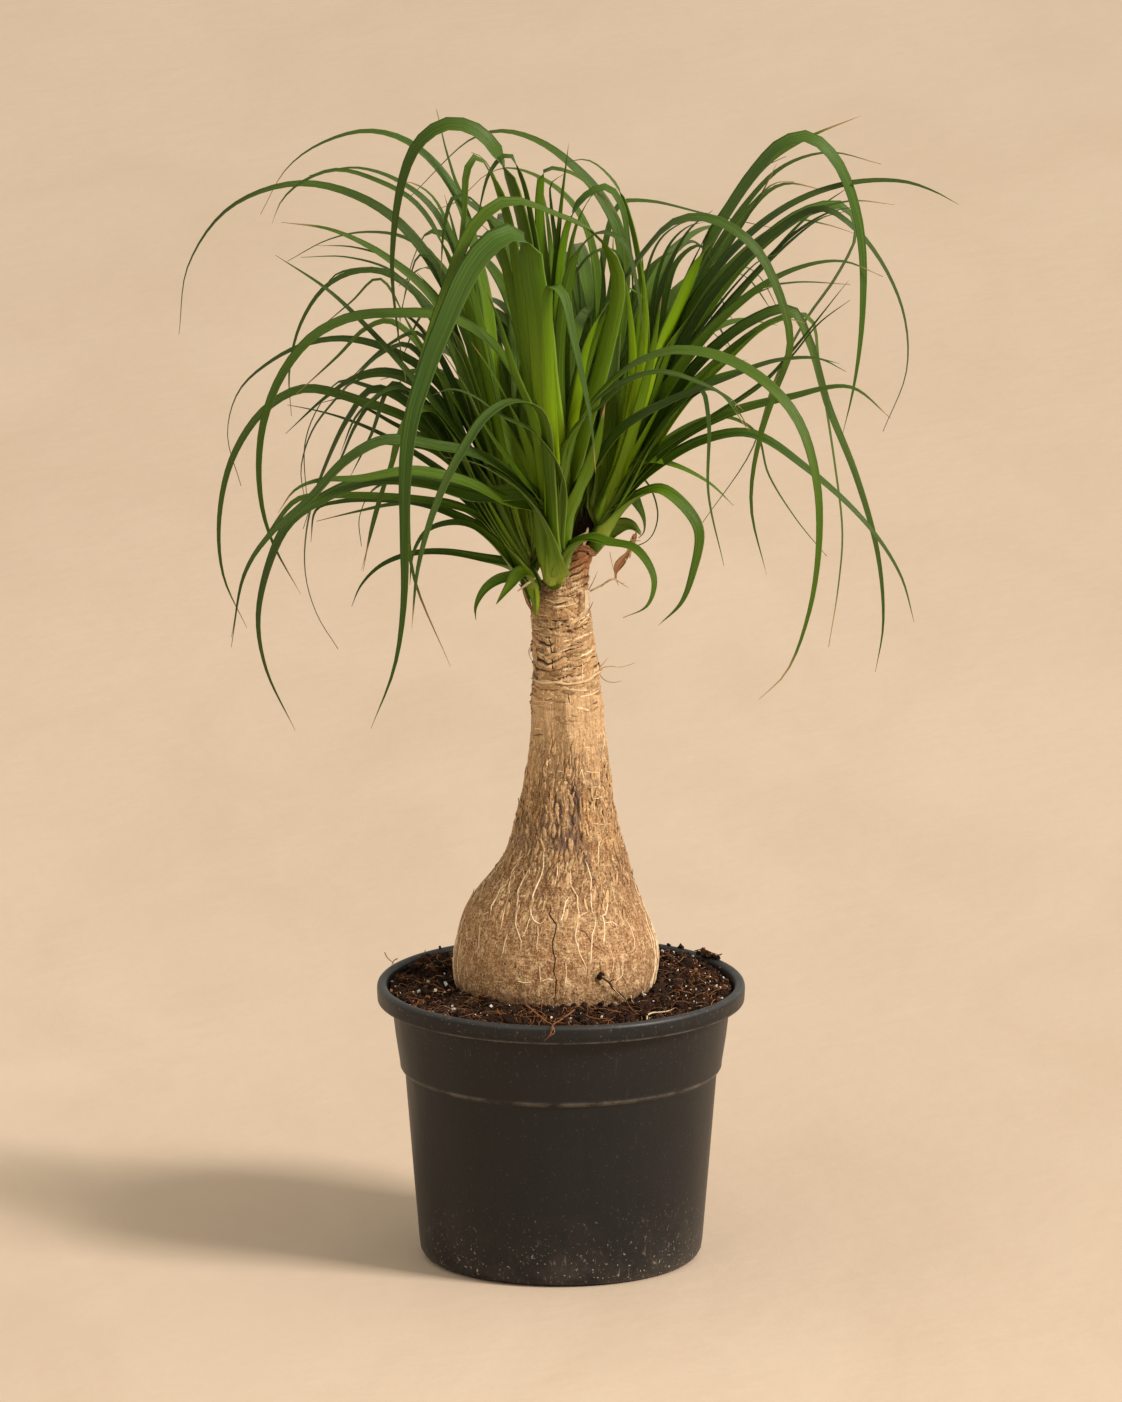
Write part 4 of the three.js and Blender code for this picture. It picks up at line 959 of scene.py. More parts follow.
# The pale ridges: thin corky seams that stand on the bulb where its skin has split and healed. They
# fan down from the shoulder, fork and rejoin, and a few darker splits run between them.
# Each row is a width, then across and up of the places from end to end, in millimetres.
RIDGES_SEEN = [
    (1.1, (-21, 204, -25.5, 197, -27, 190, -27.6, 184.8, -29.6, 177.6, -31.2, 171.4, -32.2, 166.3)),
    (1, (-27, 192.5, -31.2, 188.4, -33.2, 184.3, -35.8, 179.7, -36.8, 175)),
    (1.2, (-14.2, 202.8, -16.7, 198.7, -19.8, 192.5, -21.9, 187.9, -22.4, 182.7, -23.4, 176.6, -24, 170.4,
        -22.4, 166.2, -20.9, 161.6, -20.9, 156)),
    (1.2, (-9, 208, -9, 200.3, -10, 195.6, -12.1, 191, -14.2, 186.4, -15.2, 181.2, -15.7, 175.5,
        -13.7, 171.9, -10.6, 170.4, -8, 172.9)),
    (0.8, (-15.7, 175.5, -17.8, 168.3, -20.4, 163.2)),
    (1, (-12.1, 170.4, -11.6, 165.2, -12.6, 159, -12.1, 156)),
    (1, (-1.8, 202.3, -1.8, 196.1, -3.3, 190)),
    (1.3, (4.4, 202.3, 4.9, 191, 6.4, 188, 8.5, 184.8, 8.5, 179.6, 9.5, 175.5, 8.5, 170.9, 7, 164.7,
        8.5, 159, 10, 153.9, 12.6, 149.8, 13.7, 143.6)),
    (1.1, (4.4, 184.8, 2.3, 181.7, 1.3, 176.6, -0.3, 171.9)),
    (1.2, (12.6, 203.9, 14.2, 199.2, 15.7, 193, 15.2, 186.9, 15.7, 180.7, 16.2, 176.6, 18.8, 174)),
    (0.8, (17.3, 191, 17.8, 186.9, 16.7, 183.8)),
    (1.1, (17.8, 174, 17.8, 169.3, 16.2, 164.2, 15.7, 157, 15.2, 148.7)),
    (1.1, (19.3, 213.7, 19.3, 199.2)),
    (0.8, (21.4, 197.2, 22.9, 193, 21.4, 191)),
    (1.2, (22.4, 184.8, 24.5, 180.2, 23.4, 175.5, 21.9, 174.5, 22.9, 169.3, 22.9, 164.7, 21.9, 159)),
    (0.8, (9.5, 174.5, 14.2, 176.6)),
    (0.9, (23.4, 170.9, 27, 171.4, 29.6, 169.3)),
    (0.9, (33.7, 173.5, 36.8, 168.3, 38.4, 162.1, 37.9, 157)),
    (1, (31.7, 156, 32.2, 148.7, 31.7, 143.6, 27, 140)),
    (0.9, (-42, 169.9, -42.5, 163.2, -43, 158, -45.1, 155.4)),
    (0.9, (-28.1, 165.2, -29.6, 160, -30.7, 154.4)),
    (0.9, (-22.4, 141, -18.8, 140, -15.2, 140.5)),
    (0.9, (-11.1, 140.5, -7, 142, -3.9, 141.5)),
    (0.7, (-34.8, 141, -30.1, 140.5)),
    (0.7, (-21.4, 184.8, -17.8, 184.8)),
    (0.8, (-11.1, 148.7, -10.6, 140.5)),
    (0.8, (25.5, 191, 27, 184.8, 29.6, 179.6)),
    (0.7, (-41, 175, -37.4, 176.6)),
    (0.8, (-19.3, 206.4, -24, 201.3)),
    (0.7, (2.3, 151, 3, 145, 2, 139)),
    (0.7, (26, 158, 27.5, 150, 26.5, 145)),
    (0.9, (11.4, 249.1, 18.7, 248.4, 19.4, 241.5, 13.7, 240.8)),
    (0.8, (-7, 251.8, -7.3, 253.8, -5.5, 255.3)),
    (0.9, (-6.6, 248.8, -4.1, 248.1, -3.7, 243.7)),
    (0.8, (-1.5, 256, -0.8, 253.1, 1.7, 251)),
    (0.7, (-2.6, 249.1, 1.7, 249.1)),
    (0.7, (0.6, 245.1, 3.9, 245.1)),
    (0.8, (9.3, 247.3, 10.4, 250.2, 11.4, 245.1)),
    (0.9, (3.5, 237.6, 6, 234.7)),
    (0.7, (2.8, 232.1, 3.5, 228.5, 1.7, 230)),
    (0.9, (16.5, 235, 20.9, 236.5)),
    (0.7, (15.1, 222.1, 25.2, 222.1)),
    (0.7, (11.8, 261.4, 15.8, 261.1)),
    (0.9, (-3, 274.4, 4.9, 274.1)),
    (0.9, (2.4, 282.7, 3.5, 283.5, 6, 282)),
    (0.9, (-5.5, 289.2, -3.7, 287.8, -7.3, 286.3)),
    (0.8, (-13.4, 285.6, -6.6, 284.9)),
    (1.8, (2.8, 291.4, 10.6, 290.7, 18.8, 292)),
    (1.2, (9.3, 287.3, 15.2, 288.9, 18.8, 290.7)),
    (2.4, (7.8, 282, 11.1, 281.1, 14, 280.6)),
    (1.1, (10.4, 305.2, 10.7, 295.1)),
    (1.2, (-13.4, 271.1, -9.8, 271.1)),
    (0.7, (-13.7, 283.2, -5.9, 283.2, -5.9, 273.4)),
    (0.7, (20.9, 253.8, 21.9, 265.2, 20.9, 271.4)),
    (0.6, (23.4, 234.3, 25, 225)),
    (0.6, (-0.8, 243.5, -2.3, 239.4, -1.8, 234.3)),
    (1.9, (3.9, 327.6, 8.5, 327, 13.1, 328.3, 15.2, 330.6)),
    (1.2, (-9.9, 334.8, -2.1, 333.8, 4.5, 334.5, 9.8, 336.2)),
    (0.9, (-9.9, 337.5, -0.7, 336.2, 8.4, 338.2)),
    (1.6, (-0.1, 315.8, 8.4, 317.7, 15.8, 321)),
    (1.2, (-13.2, 314.5, -8.6, 313.8)),
    (2, (5.8, 307.9, 11.1, 309.2, 16.8, 312.5)),
]
SPLITS_SEEN = [
    (1.25, (-5.9, 182.7, -4.9, 178.6, -5.9, 176, -3.9, 172.4, -2.3, 170.4, -2.8, 166.2, -4.4, 161,
        -3.9, 156, -2.8, 151.8, -3.9, 146.7, -2.3, 141.5, -2.8, 136.4, -2.3, 129.7)),
    (0.8, (10, 167.3, 12.6, 166.2, 15.2, 162.1, 17.3, 159, 20.4, 157)),
    (0.6, (32.7, 159, 34.3, 155)),
    (0.7, (-45, 155.4, -46, 151.3)),
    (0.6, (-24.4, 207, -22.9, 212.6)),
    (0.6, (11.6, 208, 13.7, 201.3)),
    (0.7, (31.7, 143.6, 34.3, 137)),
    (1.1, (-5.9, 318.8, -4.6, 310.5, -4.1, 302.3, -4.4, 295.1)),
    (1.6, (0.6, 310.5, 4.9, 312.1, 11.4, 314.6)),
    (1, (11.6, 304.8, 15.2, 307.2, 17.5, 308.7)),
    (1, (1.8, 300.2, 7.5, 302.3, 11.6, 304.8)),
    (0.9, (-12.6, 312.6, -10, 312.1, -7.5, 310.8)),
    (0.8, (3.3, 290.9, 4.4, 284.2)),
    (0.8, (-13.7, 267.7, -9.5, 268)),
    (0.7, (21.4, 254.9, 21.9, 250.7)),
    (0.8, (2.8, 298.7, 6.4, 297.6)),
    (0.8, (-6.4, 242, -5.4, 235.8)),
    (0.9, (7, 243, 5.4, 236.8)),
    (1.3, (-8.6, 326.6, -3, 326.3, 3.2, 326.6)),
    (1.4, (8.4, 322.4, 11.8, 323.6, 15, 325.6)),
    (0.9, (-2.1, 339.5, 4.5, 338.8, 7.8, 340.4)),
]
RIDGE_ROWS = 26
ARCH = np.array([(1, -1.0), (0.7, 0.35), (0, 0.6), (-0.7, 0.35), (-1, -1.0), (0, -1.3)])
EVEN_RADIUS = 0.04


def bark_strips(name, bearing, height, half, proud, thick, material):
    """Strips that lie on the bark, one for each row of the arrays.

    Across a strip the section is a low arch of six points: half its width to each side of the
    middle, a thickness high, and sunk a little below the bark at its edges.
    """
    count, rows = bearing.shape
    points, facing = on_bark(bearing, height, proud)
    along = np.gradient(points, axis=1)
    along /= np.linalg.norm(along, axis=-1, keepdims=True) + 1e-9
    side = np.cross(facing, along)
    side /= np.linalg.norm(side, axis=-1, keepdims=True) + 1e-9
    skin = (points[:, :, None] + side[:, :, None] * (half[..., None] * ARCH[:, 0])[..., None]
            + facing[:, :, None] * (thick[..., None] * ARCH[:, 1])[..., None])
    each = rows * len(ARCH)
    return new_piece(name, skin, repeated(tube_faces(rows, len(ARCH)), each, count), material,
                     marks={"tone": np.repeat(own_tone(np.arange(count)), each)})


def even_lines(lines):
    """Lines of bearing and height, each cut into as many points, even along its way on the bulb."""
    even = []
    for line in lines:
        corners = np.array([(bearing * EVEN_RADIUS, height) for bearing, height in line])
        run = length_so_far(corners)
        along = np.linspace(0, run[-1], RIDGE_ROWS)
        even.append([np.interp(along, run, column) for column in corners.T])
    even = np.array(even)
    return even[:, 0] / EVEN_RADIUS, even[:, 1]


def seen_line(flat):
    """A line read on the front of the trunk, in millimetres, as bearings and heights."""
    across, up = np.reshape(flat, (-1, 2)).T / 1000
    return list(zip(*bark_spot(across, up)))


def seen_lines(table):
    """The widths in metres and the lines of a table. A line shows a little wider than it is."""
    return [0.82 * width / 1000 for width, _ in table], [seen_line(flat) for _, flat in table]


def ridges_unseen(count, seed):
    """Ridges round the back: each walks down from the shoulder, swaying, and most of them fork."""
    rng = np.random.default_rng(seed)
    widths = []
    lines = []
    for number in range(count):
        bearing = -0.30 + (np.pi + 0.60) * (number + rng.uniform(0.1, 0.9)) / count
        height = rng.uniform(0.170, 0.212)
        line = [(bearing, height)]
        for _ in range(rng.integers(3, 8)):
            bearing += rng.normal(0, 0.035)
            height -= rng.uniform(0.004, 0.009)
            line.append((bearing, max(height, 0.137)))
        lines.append(line)
        widths.append(rng.uniform(0.0006, 0.0010))
        if rng.uniform() < 0.6:
            turn, level = line[len(line) // 2]
            way = rng.choice([-1, 1])
            fork = [(0, 0), (way * 0.07, -0.005), (way * 0.10, -0.014)]
            lines.append([(turn + round_about, level + up) for round_about, up in fork])
            widths.append(rng.uniform(0.0005, 0.0007))
    return widths, lines


def lay_lines(name, widths, lines, thick, material, seed):
    """Lines as strips: each swells and thins along its way and runs out to a point at both ends."""
    rng = np.random.default_rng(seed)
    bearing, height = even_lines(lines)
    bearing = bearing + rng.normal(0, 0.0016, bearing.shape)
    t = np.linspace(0, 1, RIDGE_ROWS)
    swell = 0.75 + 0.25 * rng.uniform(0, 1, bearing.shape)
    half = np.array(widths)[:, None] / 2 * swell * np.clip(8 * np.minimum(t, 1 - t), 0.12, 1)
    return bark_strips(name, bearing, height, half, 0 * half, thick + 0 * half, material)


ridge_cork = simple_finish("pale_cork_ridges", (0.60, 0.40, 0.21), (1.0, 0.84, 0.58), 420.0, 0.0003, 0.8)
split_dark = simple_finish("dark_bark_splits", (0.03, 0.014, 0.006), (0.09, 0.042, 0.018), 420.0, 0.0002,
                           0.95)
widths, lines = seen_lines(RIDGES_SEEN)
back_widths, back_lines = ridges_unseen(46, 81)
settle(lay_lines("bulb_ridges", widths + back_widths, lines + back_lines, 0.0004, ridge_cork, 82),
       "bark", "trunk")
settle(lay_lines("bulb_splits", *seen_lines(SPLITS_SEEN), 0.00025, split_dark, 83), "bark", "trunk")

# The flakes: scraps of dry outer bark that lift from the shoulder and neck, upright on the stem and
# lying round it between the ring scars, where they are what is left of the old leaves' bases.
FLAKE_ROWS = 5
flake_bark = simple_finish("dry_bark_flakes", (0.13, 0.058, 0.022), (0.74, 0.50, 0.26), 520.0, 0.0003, 0.85)


def settle_flakes(name, count, low, high, lying, sizes, lift, seed):
    """Seeded flakes between two heights: short strips that curl away from the bark at one end.

    A flake lifts by the square of the way along it, and its half width falls by the cube of the
    distance from its middle.
    """
    rng = np.random.default_rng(seed)
    bearing = rng.uniform(0, 2 * np.pi, (count, 1))
    height = rng.uniform(low, high, (count, 1))
    radius = trunk_profile(height)[0]
    length = rng.uniform(*sizes, (count, 1)) / 1000
    slant = rng.normal(0, 0.22, (count, 1)) + (np.pi / 2 - 0.16 * np.cos(bearing) if lying else 0)
    t = np.linspace(-0.5, 0.5, FLAKE_ROWS)
    up = length * t * np.cos(slant)
    turn = length * t * np.sin(slant) / radius
    half = length * rng.uniform(0.09, 0.20, (count, 1)) * (1 - (2 * np.abs(t)) ** 3 * 0.6)
    curl = rng.uniform(0.1, 1.0, (count, 1)) * lift * (t + 0.5) ** 2
    thick = rng.uniform(0.00012, 0.00028, (count, 1)) + 0 * half
    flakes = bark_strips(name, bearing + turn, height + up, half, curl, thick, flake_bark)
    settle(flakes, "bark", "trunk")


settle_flakes("shoulder_flakes", 640, 0.186, 0.262, False, (2.0, 7.5), 0.0011, 91)
settle_flakes("ring_flakes", 330, 0.288, 0.354, True, (2.5, 9.0), 0.0011, 92)
settle_flakes("bulb_flecks", 420, 0.142, 0.215, False, (0.9, 3.0), 0.0003, 93)

# The stray fibres: a dead root-like tie round the stem below the rings, with a few wiry ends that
# stick out at the right.
TIE_SEEN = (-14, 297.2, -8, 294.6, -2, 295.2, 3, 294, 9, 294.8, 15, 297, 19.3, 301.5)
TIE_WIDTH = 0.0016
TIE_THICK = 0.0024
WISP_RADIUS = 0.00032
# Each wisp is the depth of its end, then across and up of its places, in millimetres.
WISPS = [
    (-8, (19, 300.5, 22, 302.6, 26, 303.2, 31, 302.8, 35.5, 304, 39, 305.4)),
    (-10, (19, 301, 21, 297.5, 24, 295.4, 28, 294.9, 31.5, 295.8)),
    (-6, (19, 301.5, 21, 303.6, 23, 306, 24.5, 308)),
    (-4, (14.2, 342.5, 16.2, 346, 17.7, 349.4, 18.8, 352.2)),
    (-4, (13.8, 331, 15.2, 333.5, 16.6, 336.6)),
    (-2, (-14.6, 314, -16.4, 311.8, -16.2, 308.6, -14.6, 305.6)),
]
straw = simple_finish("dry_straw_fibres", (0.24, 0.115, 0.045), (0.78, 0.58, 0.34), 500.0, 0.0001, 0.8)
tie = lay_lines("stem_tie", [TIE_WIDTH], [seen_line(TIE_SEEN)], TIE_THICK, ridge_cork, 84)
settle(tie, "bark", "trunk")
paths = []
for depth, seen in WISPS:
    across, up = np.reshape(seen, (-1, 2)).T
    paths.append(curve_through(place_seen(across, up, np.linspace(depth * 0.4, depth, len(up))), 18))
settle(strands("stem_wisps", paths, [WISP_RADIUS] * len(paths), straw, 5), "bark", "trunk")

# The leaf heads: leathery strap leaves, each a shallow channel that clasps its stalk at the root,
# rises, folds over and ends in a thin whip. Four heads stand on the trunk's top.
# A head is its foot and its heart, across, depth and height, and its stalk's radius, in millimetres.
HEADS = {
    "front": ((-3.5, -10, 359.5), (-6, -19, 402), 7.6),
    "left": ((-11.5, 1, 350), (-34, -2, 392), 7.5),
    "right": ((16.8, 3, 374.5), (32, 1, 407), 7),
    "back": ((7, 9, 358), (10, 24, 400), 7),
}
# A leaf is the depth of its tip, its width, and the places seen from root to tip, across and up, in
# millimetres. The long leaves come first, then thin whips and those that fill the crown.
LEAVES = {
    "front": [
        (-105, 17, (-3.5, 400, -4.5, 418, -7, 437, -9.4, 460, -11.7, 484, -15.3, 508, -18.5, 524,
            -26, 526.5, -37.7, 519.7, -48.4, 505.5, -59, 482, -69.7, 455, -76.8, 431, -80, 407, -80.5, 370,
            -81, 335, -86, 302, -98, 271)),
        (-80, 9, (10, 420, 24, 470, 29, 504, 18, 526, 0, 535, -28, 543, -45, 530, -58, 500, -70, 464,
            -78, 430, -79, 385, -76, 350, -57, 303)),
        (-130, 9, (-6, 400, -12, 436, -25, 440, -38, 433, -50, 416, -60, 397, -68, 376, -74, 352,
            -77, 321)),
        (-70, 8, (-10, 383, -22, 399, -42, 412, -64, 417, -90, 420, -110, 410, -130, 389, -150, 371,
            -163, 351, -170, 313)),
        (-55, 9, (-12, 383, -28, 388, -48, 398, -76, 404, -104, 400, -125, 399, -137, 394, -146, 382)),
        (-60, 11, (-8, 390, -22, 392, -44, 391, -70, 398, -98, 399, -122, 390, -140, 377, -150, 357,
            -156, 328, -152, 302, -137, 270)),
        (-90, 8, (0, 400, -14, 424, -30, 432, -46, 443, -57, 446, -68, 442)),
        (-45, 10, (-8, 415, -20, 445, -36, 470, -58, 483, -84, 485, -108, 483, -128, 473, -144, 453,
            -154, 425, -155, 392, -149, 368, -134, 340)),
        (-24, 15, (-8, 430, -14, 490, -22, 540, -33, 568, -45, 580, -59, 582.5, -73, 573, -82, 552,
            -87, 510, -84, 475, -80, 450)),
        (-60, 9, (-10, 420, -18, 470, -27, 532, -36, 557, -43, 566, -48, 560, -50, 535, -54, 505,
            -58, 480)),
        (-50, 9, (-10, 415, -22, 480, -34, 526, -46, 544, -55, 545, -60, 530, -62, 505)),
        (-25, 10, (-6, 430, -9, 480, -14, 525, -20, 554, -27, 567, -36, 559, -44, 530)),
        (-20, 12, (-4, 430, -7, 490, -11, 545, -8, 559, 4, 558, 16, 550, 30, 535)),
        (-24, 9, (-2, 430, -2, 480, 4, 532, 13, 546, 24, 550, 31, 541, 35, 520, 42, 480)),
        (-60, 9, (-1, 420, -1, 465, 3, 500, 10, 519, 20, 527, 32, 522, 39, 500, 43, 468)),
        (-95, 9, (-5, 420, -7, 468, -5, 500, 0.5, 496, 7, 470, 13, 443, 16, 425, 18, 402)),
        (-60, 10, (4, 420, 14, 465, 28, 494, 44, 518, 58, 532, 76, 534, 98, 521, 112, 496, 118, 468,
            110, 444, 101, 415, 98, 385, 106, 350)),
        (-95, 10, (0, 400, 10, 430, 26, 450, 42, 461, 60, 466, 84, 462, 106, 449, 122, 430, 131, 402,
            133, 370, 128, 332, 116, 300, 102, 286)),
        (-110, 7, (2, 400, 12, 432, 28, 448, 50, 455, 70, 450, 86, 441, 98, 424)),
        (-65, 11, (4, 384, 14, 402, 32, 426, 56, 440, 84, 451, 112, 461, 132, 462, 147, 455)),
        (-60, 8, (1.5, 350, 4, 358, 8.5, 365.6, 16, 369, 24, 367, 38, 364, 46, 354, 48, 345, 44, 334,
            32, 328)),
        (-66, 13, (-6.4, 354, -6.4, 362, -7.6, 372, -12, 383, -20.5, 393.5, -31, 401, -44, 408, -60, 411)),
        (-46, 14, (0.5, 352, 0.6, 362, 2.2, 374, 7, 388, 13, 402, 19, 420, 23, 440)),
        (-40, 11, (-4, 353, -3.6, 366, -3, 382, -4.5, 400, -9, 425, -15, 450)),
        (-36, 12, (-9.2, 352, -10.2, 361, -10.8, 371, -14, 384, -22, 396, -34, 405, -46, 408)),
        (-42, 9, (3.5, 360, 9, 366.5, 16, 369.5, 24, 367.5, 31, 366.3, 36, 367.5, 41, 368)),
        (-35, 6, (-2, 430, 0, 470, 8, 506, 18, 517, 28, 517, 35, 495)),
        (-22, 6, (-4, 430, -4, 490, 0, 540, 4, 573)),
        (-85, 5, (0, 400, 6, 425, 20, 437, 35, 450, 52, 455, 68, 451, 82, 444, 97, 424)),
        (-35, 7, (-8, 430, -16, 480, -25, 525, -33, 552, -40, 565, -46, 568)),
        (-14, 10, (-5, 430, -4, 480, -5, 515, -9, 545, -13, 557)),
        (-12, 8, (-3, 430, -1, 480, -2, 515, -5, 540, -5, 552, 2, 557)),
        (-30, 5, (2, 420, 3, 470, 4, 510, 9, 533, 17, 547, 22, 549)),
        (-30, 6, (-10, 430, -20, 480, -30, 515, -40, 530, -47, 533)),
        (-50, 7, (-12, 390, -20, 400, -38, 425, -54, 455, -64, 469, -71, 477)),
        (-40, 9, (-8, 420, -15, 450, -20, 490, -24, 518, -29, 533)),
        (-50, 8, (-9, 400, -14, 430, -24, 455, -33, 484, -40, 500)),
        (-42, 8, (2, 400, 8, 440, 14, 470, 24, 490, 34, 498, 44, 492)),
        (-32, 9, (-10, 385, -14, 405, -22, 428, -34, 452, -46, 470)),
    ],
    "left": [
        (10, 9, (-38, 440, -60, 500, -90, 537, -132, 552, -170, 540, -192, 510, -197, 474)),
        (45, 8, (-33, 440, -40, 500, -56, 550, -78, 573, -100, 579, -125, 572, -142, 559, -155, 536)),
        (-8, 8, (-36, 440, -52, 500, -74, 541, -96, 554, -116, 559, -133, 553, -144, 543, -149, 531)),
        (25, 8, (-34, 440, -48, 500, -66, 539, -85, 554, -104, 560, -118, 559, -130, 556)),
        (0, 10, (-40, 430, -62, 488, -90, 514, -118, 528, -144, 532)),
        (60, 6, (-36, 430, -55, 500, -78, 523, -100, 527, -120, 523, -141, 512)),
        (-25, 7, (-44, 410, -80, 456, -100, 478, -120, 497, -147, 515)),
        (30, 7, (-42, 420, -62, 480, -88, 505, -104, 507, -121, 499, -134, 480, -140, 455, -139, 432)),
        (50, 6, (-44, 420, -66, 452, -90, 467, -112, 472, -132, 469, -150, 460, -166, 445, -172, 423,
            -165, 396)),
        (-5, 7, (-46, 410, -68, 462, -88, 481, -101, 477, -115, 463, -137, 443)),
        (35, 6, (-46, 410, -66, 455, -80, 469, -93, 464, -106, 452, -116, 441, -128, 425, -134, 405,
            -132, 388)),
        (15, 8, (-48, 400, -66, 444, -88, 455, -104, 453, -121, 442, -142, 423)),
        (0, 8, (-48, 395, -70, 425, -104, 440, -133, 446, -153, 435, -169, 411, -176, 380, -174, 350,
            -162, 323)),
        (25, 7, (-48, 400, -78, 438, -97, 446, -109, 432, -120, 410, -130, 380, -132, 352, -126, 330,
            -115, 312)),
        (-15, 6, (-46, 395, -68, 430, -86, 449, -98, 422, -109, 400)),
        (20, 7, (-40, 372, -55, 381, -72, 387, -92, 389, -114, 388, -126, 384, -129, 367)),
        (55, 5, (-42, 382, -62, 398, -82, 400, -97, 394, -104, 380, -103, 365)),
        (-22, 6, (-44, 400, -66, 436, -78, 432, -88, 405, -97, 378, -102, 352)),
        (-12, 7, (-36, 368, -47, 376, -58, 377, -69, 373, -76, 362, -78, 345)),
        (12, 5, (-26, 353, -40, 358, -60, 362, -78, 361, -93, 355, -103, 345, -108, 334)),
        (75, 8, (-34, 430, -46, 500, -58, 524, -68, 527, -76, 514, -85, 470)),
        (65, 5, (-46, 390, -80, 416, -104, 428, -122, 434, -141, 438)),
        (40, 5, (-40, 378, -60, 388, -85, 387, -105, 383, -126, 378)),
        (10, 4, (-42, 440, -62, 485, -84, 511, -106, 519, -126, 520)),
        (-18, 3.5, (-42, 430, -66, 480, -86, 506, -110, 514, -134, 514)),
        (-20, 3.5, (-44, 420, -76, 475, -94, 503, -108, 491, -126, 476)),
        (70, 4.5, (-44, 400, -74, 437, -98, 447, -114, 450, -125, 437, -132, 418, -131, 387)),
        (-12, 5, (-46, 410, -64, 458, -74, 475, -90, 468, -110, 450)),
        (-14, 3, (-46, 395, -70, 421, -82, 425, -89, 402, -97, 374, -103, 352)),
        (30, 6, (-44, 400, -72, 439, -86, 447, -96, 441, -106, 427, -115, 407, -128, 388, -133, 374)),
        (5, 5, (-42, 380, -56, 386, -72, 389, -97, 391, -122, 391, -136, 389, -150, 372, -163, 350,
            -170, 318)),
        (-18, 6, (-46, 400, -62, 432, -84, 447, -104, 434, -114, 412)),
        (20, 8, (-34, 430, -42, 480, -52, 515, -57, 535, -60, 546)),
        (10, 6, (-34, 430, -44, 490, -56, 525, -66, 545, -76, 552, -86, 553)),
        (5, 7, (-44, 430, -58, 490, -66, 512, -73, 515, -78, 503, -84, 480)),
        (-5, 7, (-42, 430, -58, 474, -74, 494, -88, 506, -102, 508, -116, 505, -124, 495)),
        (-5, 7, (-44, 400, -66, 440, -82, 451, -94, 453, -106, 450, -114, 444)),
        (5, 5, (-46, 400, -64, 418, -84, 427, -100, 436, -112, 441, -124, 439)),
        (10, 6, (-42, 390, -56, 407, -68, 415, -80, 417, -98, 418)),
        (30, 8, (-36, 420, -48, 470, -58, 500, -68, 518, -80, 525)),
        (15, 8, (-40, 410, -56, 450, -68, 472, -80, 484, -92, 486)),
        (40, 7, (-34, 420, -40, 470, -44, 510, -52, 540, -60, 556)),
        (25, 8, (-36, 410, -46, 440, -52, 470, -62, 492, -74, 506)),
    ],
    "right": [
        (-8, 13, (40, 420, 47.4, 441.7, 53.3, 468, 61.6, 490, 74.6, 519.7, 86.4, 538, 99, 557, 113, 572,
            127, 576, 140, 566, 149, 548, 155, 520, 155, 480, 151, 448, 145, 422)),
        (40, 8, (44, 440, 62, 490, 86, 536, 106, 562, 126, 575, 155, 587)),
        (60, 6, (44, 440, 70, 500, 95, 541, 115, 561, 138, 568, 165, 562)),
        (-5, 11, (42, 430, 62, 480, 88, 517, 118, 541, 148, 552, 176, 553, 192, 548, 205, 541)),
        (70, 11, (42, 440, 66, 488, 92, 531, 107, 548, 117, 552, 137, 548)),
        (30, 9, (44, 430, 70, 480, 100, 518, 128, 538, 146, 540, 152, 527, 143, 506, 125, 480, 110, 450,
            98, 414, 73, 377)),
        (5, 8, (44, 430, 76, 492, 108, 525, 134, 539, 150, 530, 166, 510, 177, 483, 178, 455, 166, 424)),
        (-10, 11, (42, 420, 62, 458, 88, 487, 116, 506, 144, 512, 166, 504)),
        (0, 10, (42, 415, 70, 458, 98, 481, 118, 487, 128, 470, 137, 439, 152, 401, 163, 362, 166, 325,
            162, 300)),
        (25, 5, (44, 420, 80, 460, 112, 482, 128, 483, 133, 458, 141, 408, 145, 372, 143, 345, 138, 313)),
        (-20, 8, (38, 398, 58, 418, 85, 433, 118, 442, 149, 447, 170, 431)),
        (-30, 8, (36, 393, 52, 408, 74, 420, 98, 423, 128, 404, 158, 376, 175, 350, 182, 326)),
        (-12, 6, (34, 400, 44, 409, 58, 407, 76, 398, 89, 386)),
        (-18, 9, (32, 383, 41, 391, 51, 394, 63, 386, 71, 373, 68, 352, 62, 336, 50, 324)),
        (5, 10, (29, 383, 34.5, 390, 39.5, 384.5, 42.6, 378, 42.6, 372, 40, 369)),
        (8, 5, (24.6, 367, 28, 372.2, 32, 374.8, 36, 374.6, 41, 371)),
        (0, 10, (40, 430, 43, 460, 43, 485, 40, 512, 35, 535, 28, 552, 14, 564, 2, 563)),
        (20, 5, (44, 440, 68, 490, 90, 525, 104, 548, 111, 562)),
        (-10, 10, (34, 420, 37, 460, 35, 490, 32, 508)),
        (-16, 9, (34, 420, 42, 465, 43, 495, 40, 516)),
        (-20, 9, (36, 420, 46, 460, 52, 495)),
        (35, 9, (40, 430, 50, 475, 60, 512, 72, 520, 80, 508)),
        (62, 4, (44, 440, 76, 498, 102, 524, 120, 533, 136, 531, 152, 526)),
        (-14, 4, (44, 410, 80, 433, 105, 450, 121, 468, 148, 502)),
        (-24, 4, (44, 408, 86, 437, 116, 460, 133, 480, 149, 492)),
        (50, 4, (44, 425, 76, 478, 98, 496, 120, 501, 149, 500)),
        (45, 4, (44, 440, 76, 476, 102, 507, 126, 534, 151, 552)),
        (-35, 3.5, (40, 410, 60, 436, 72, 446, 76, 430, 76, 392, 84, 355)),
        (20, 2.5, (42, 410, 80, 432, 100, 424, 107, 402, 122, 378, 137, 360)),
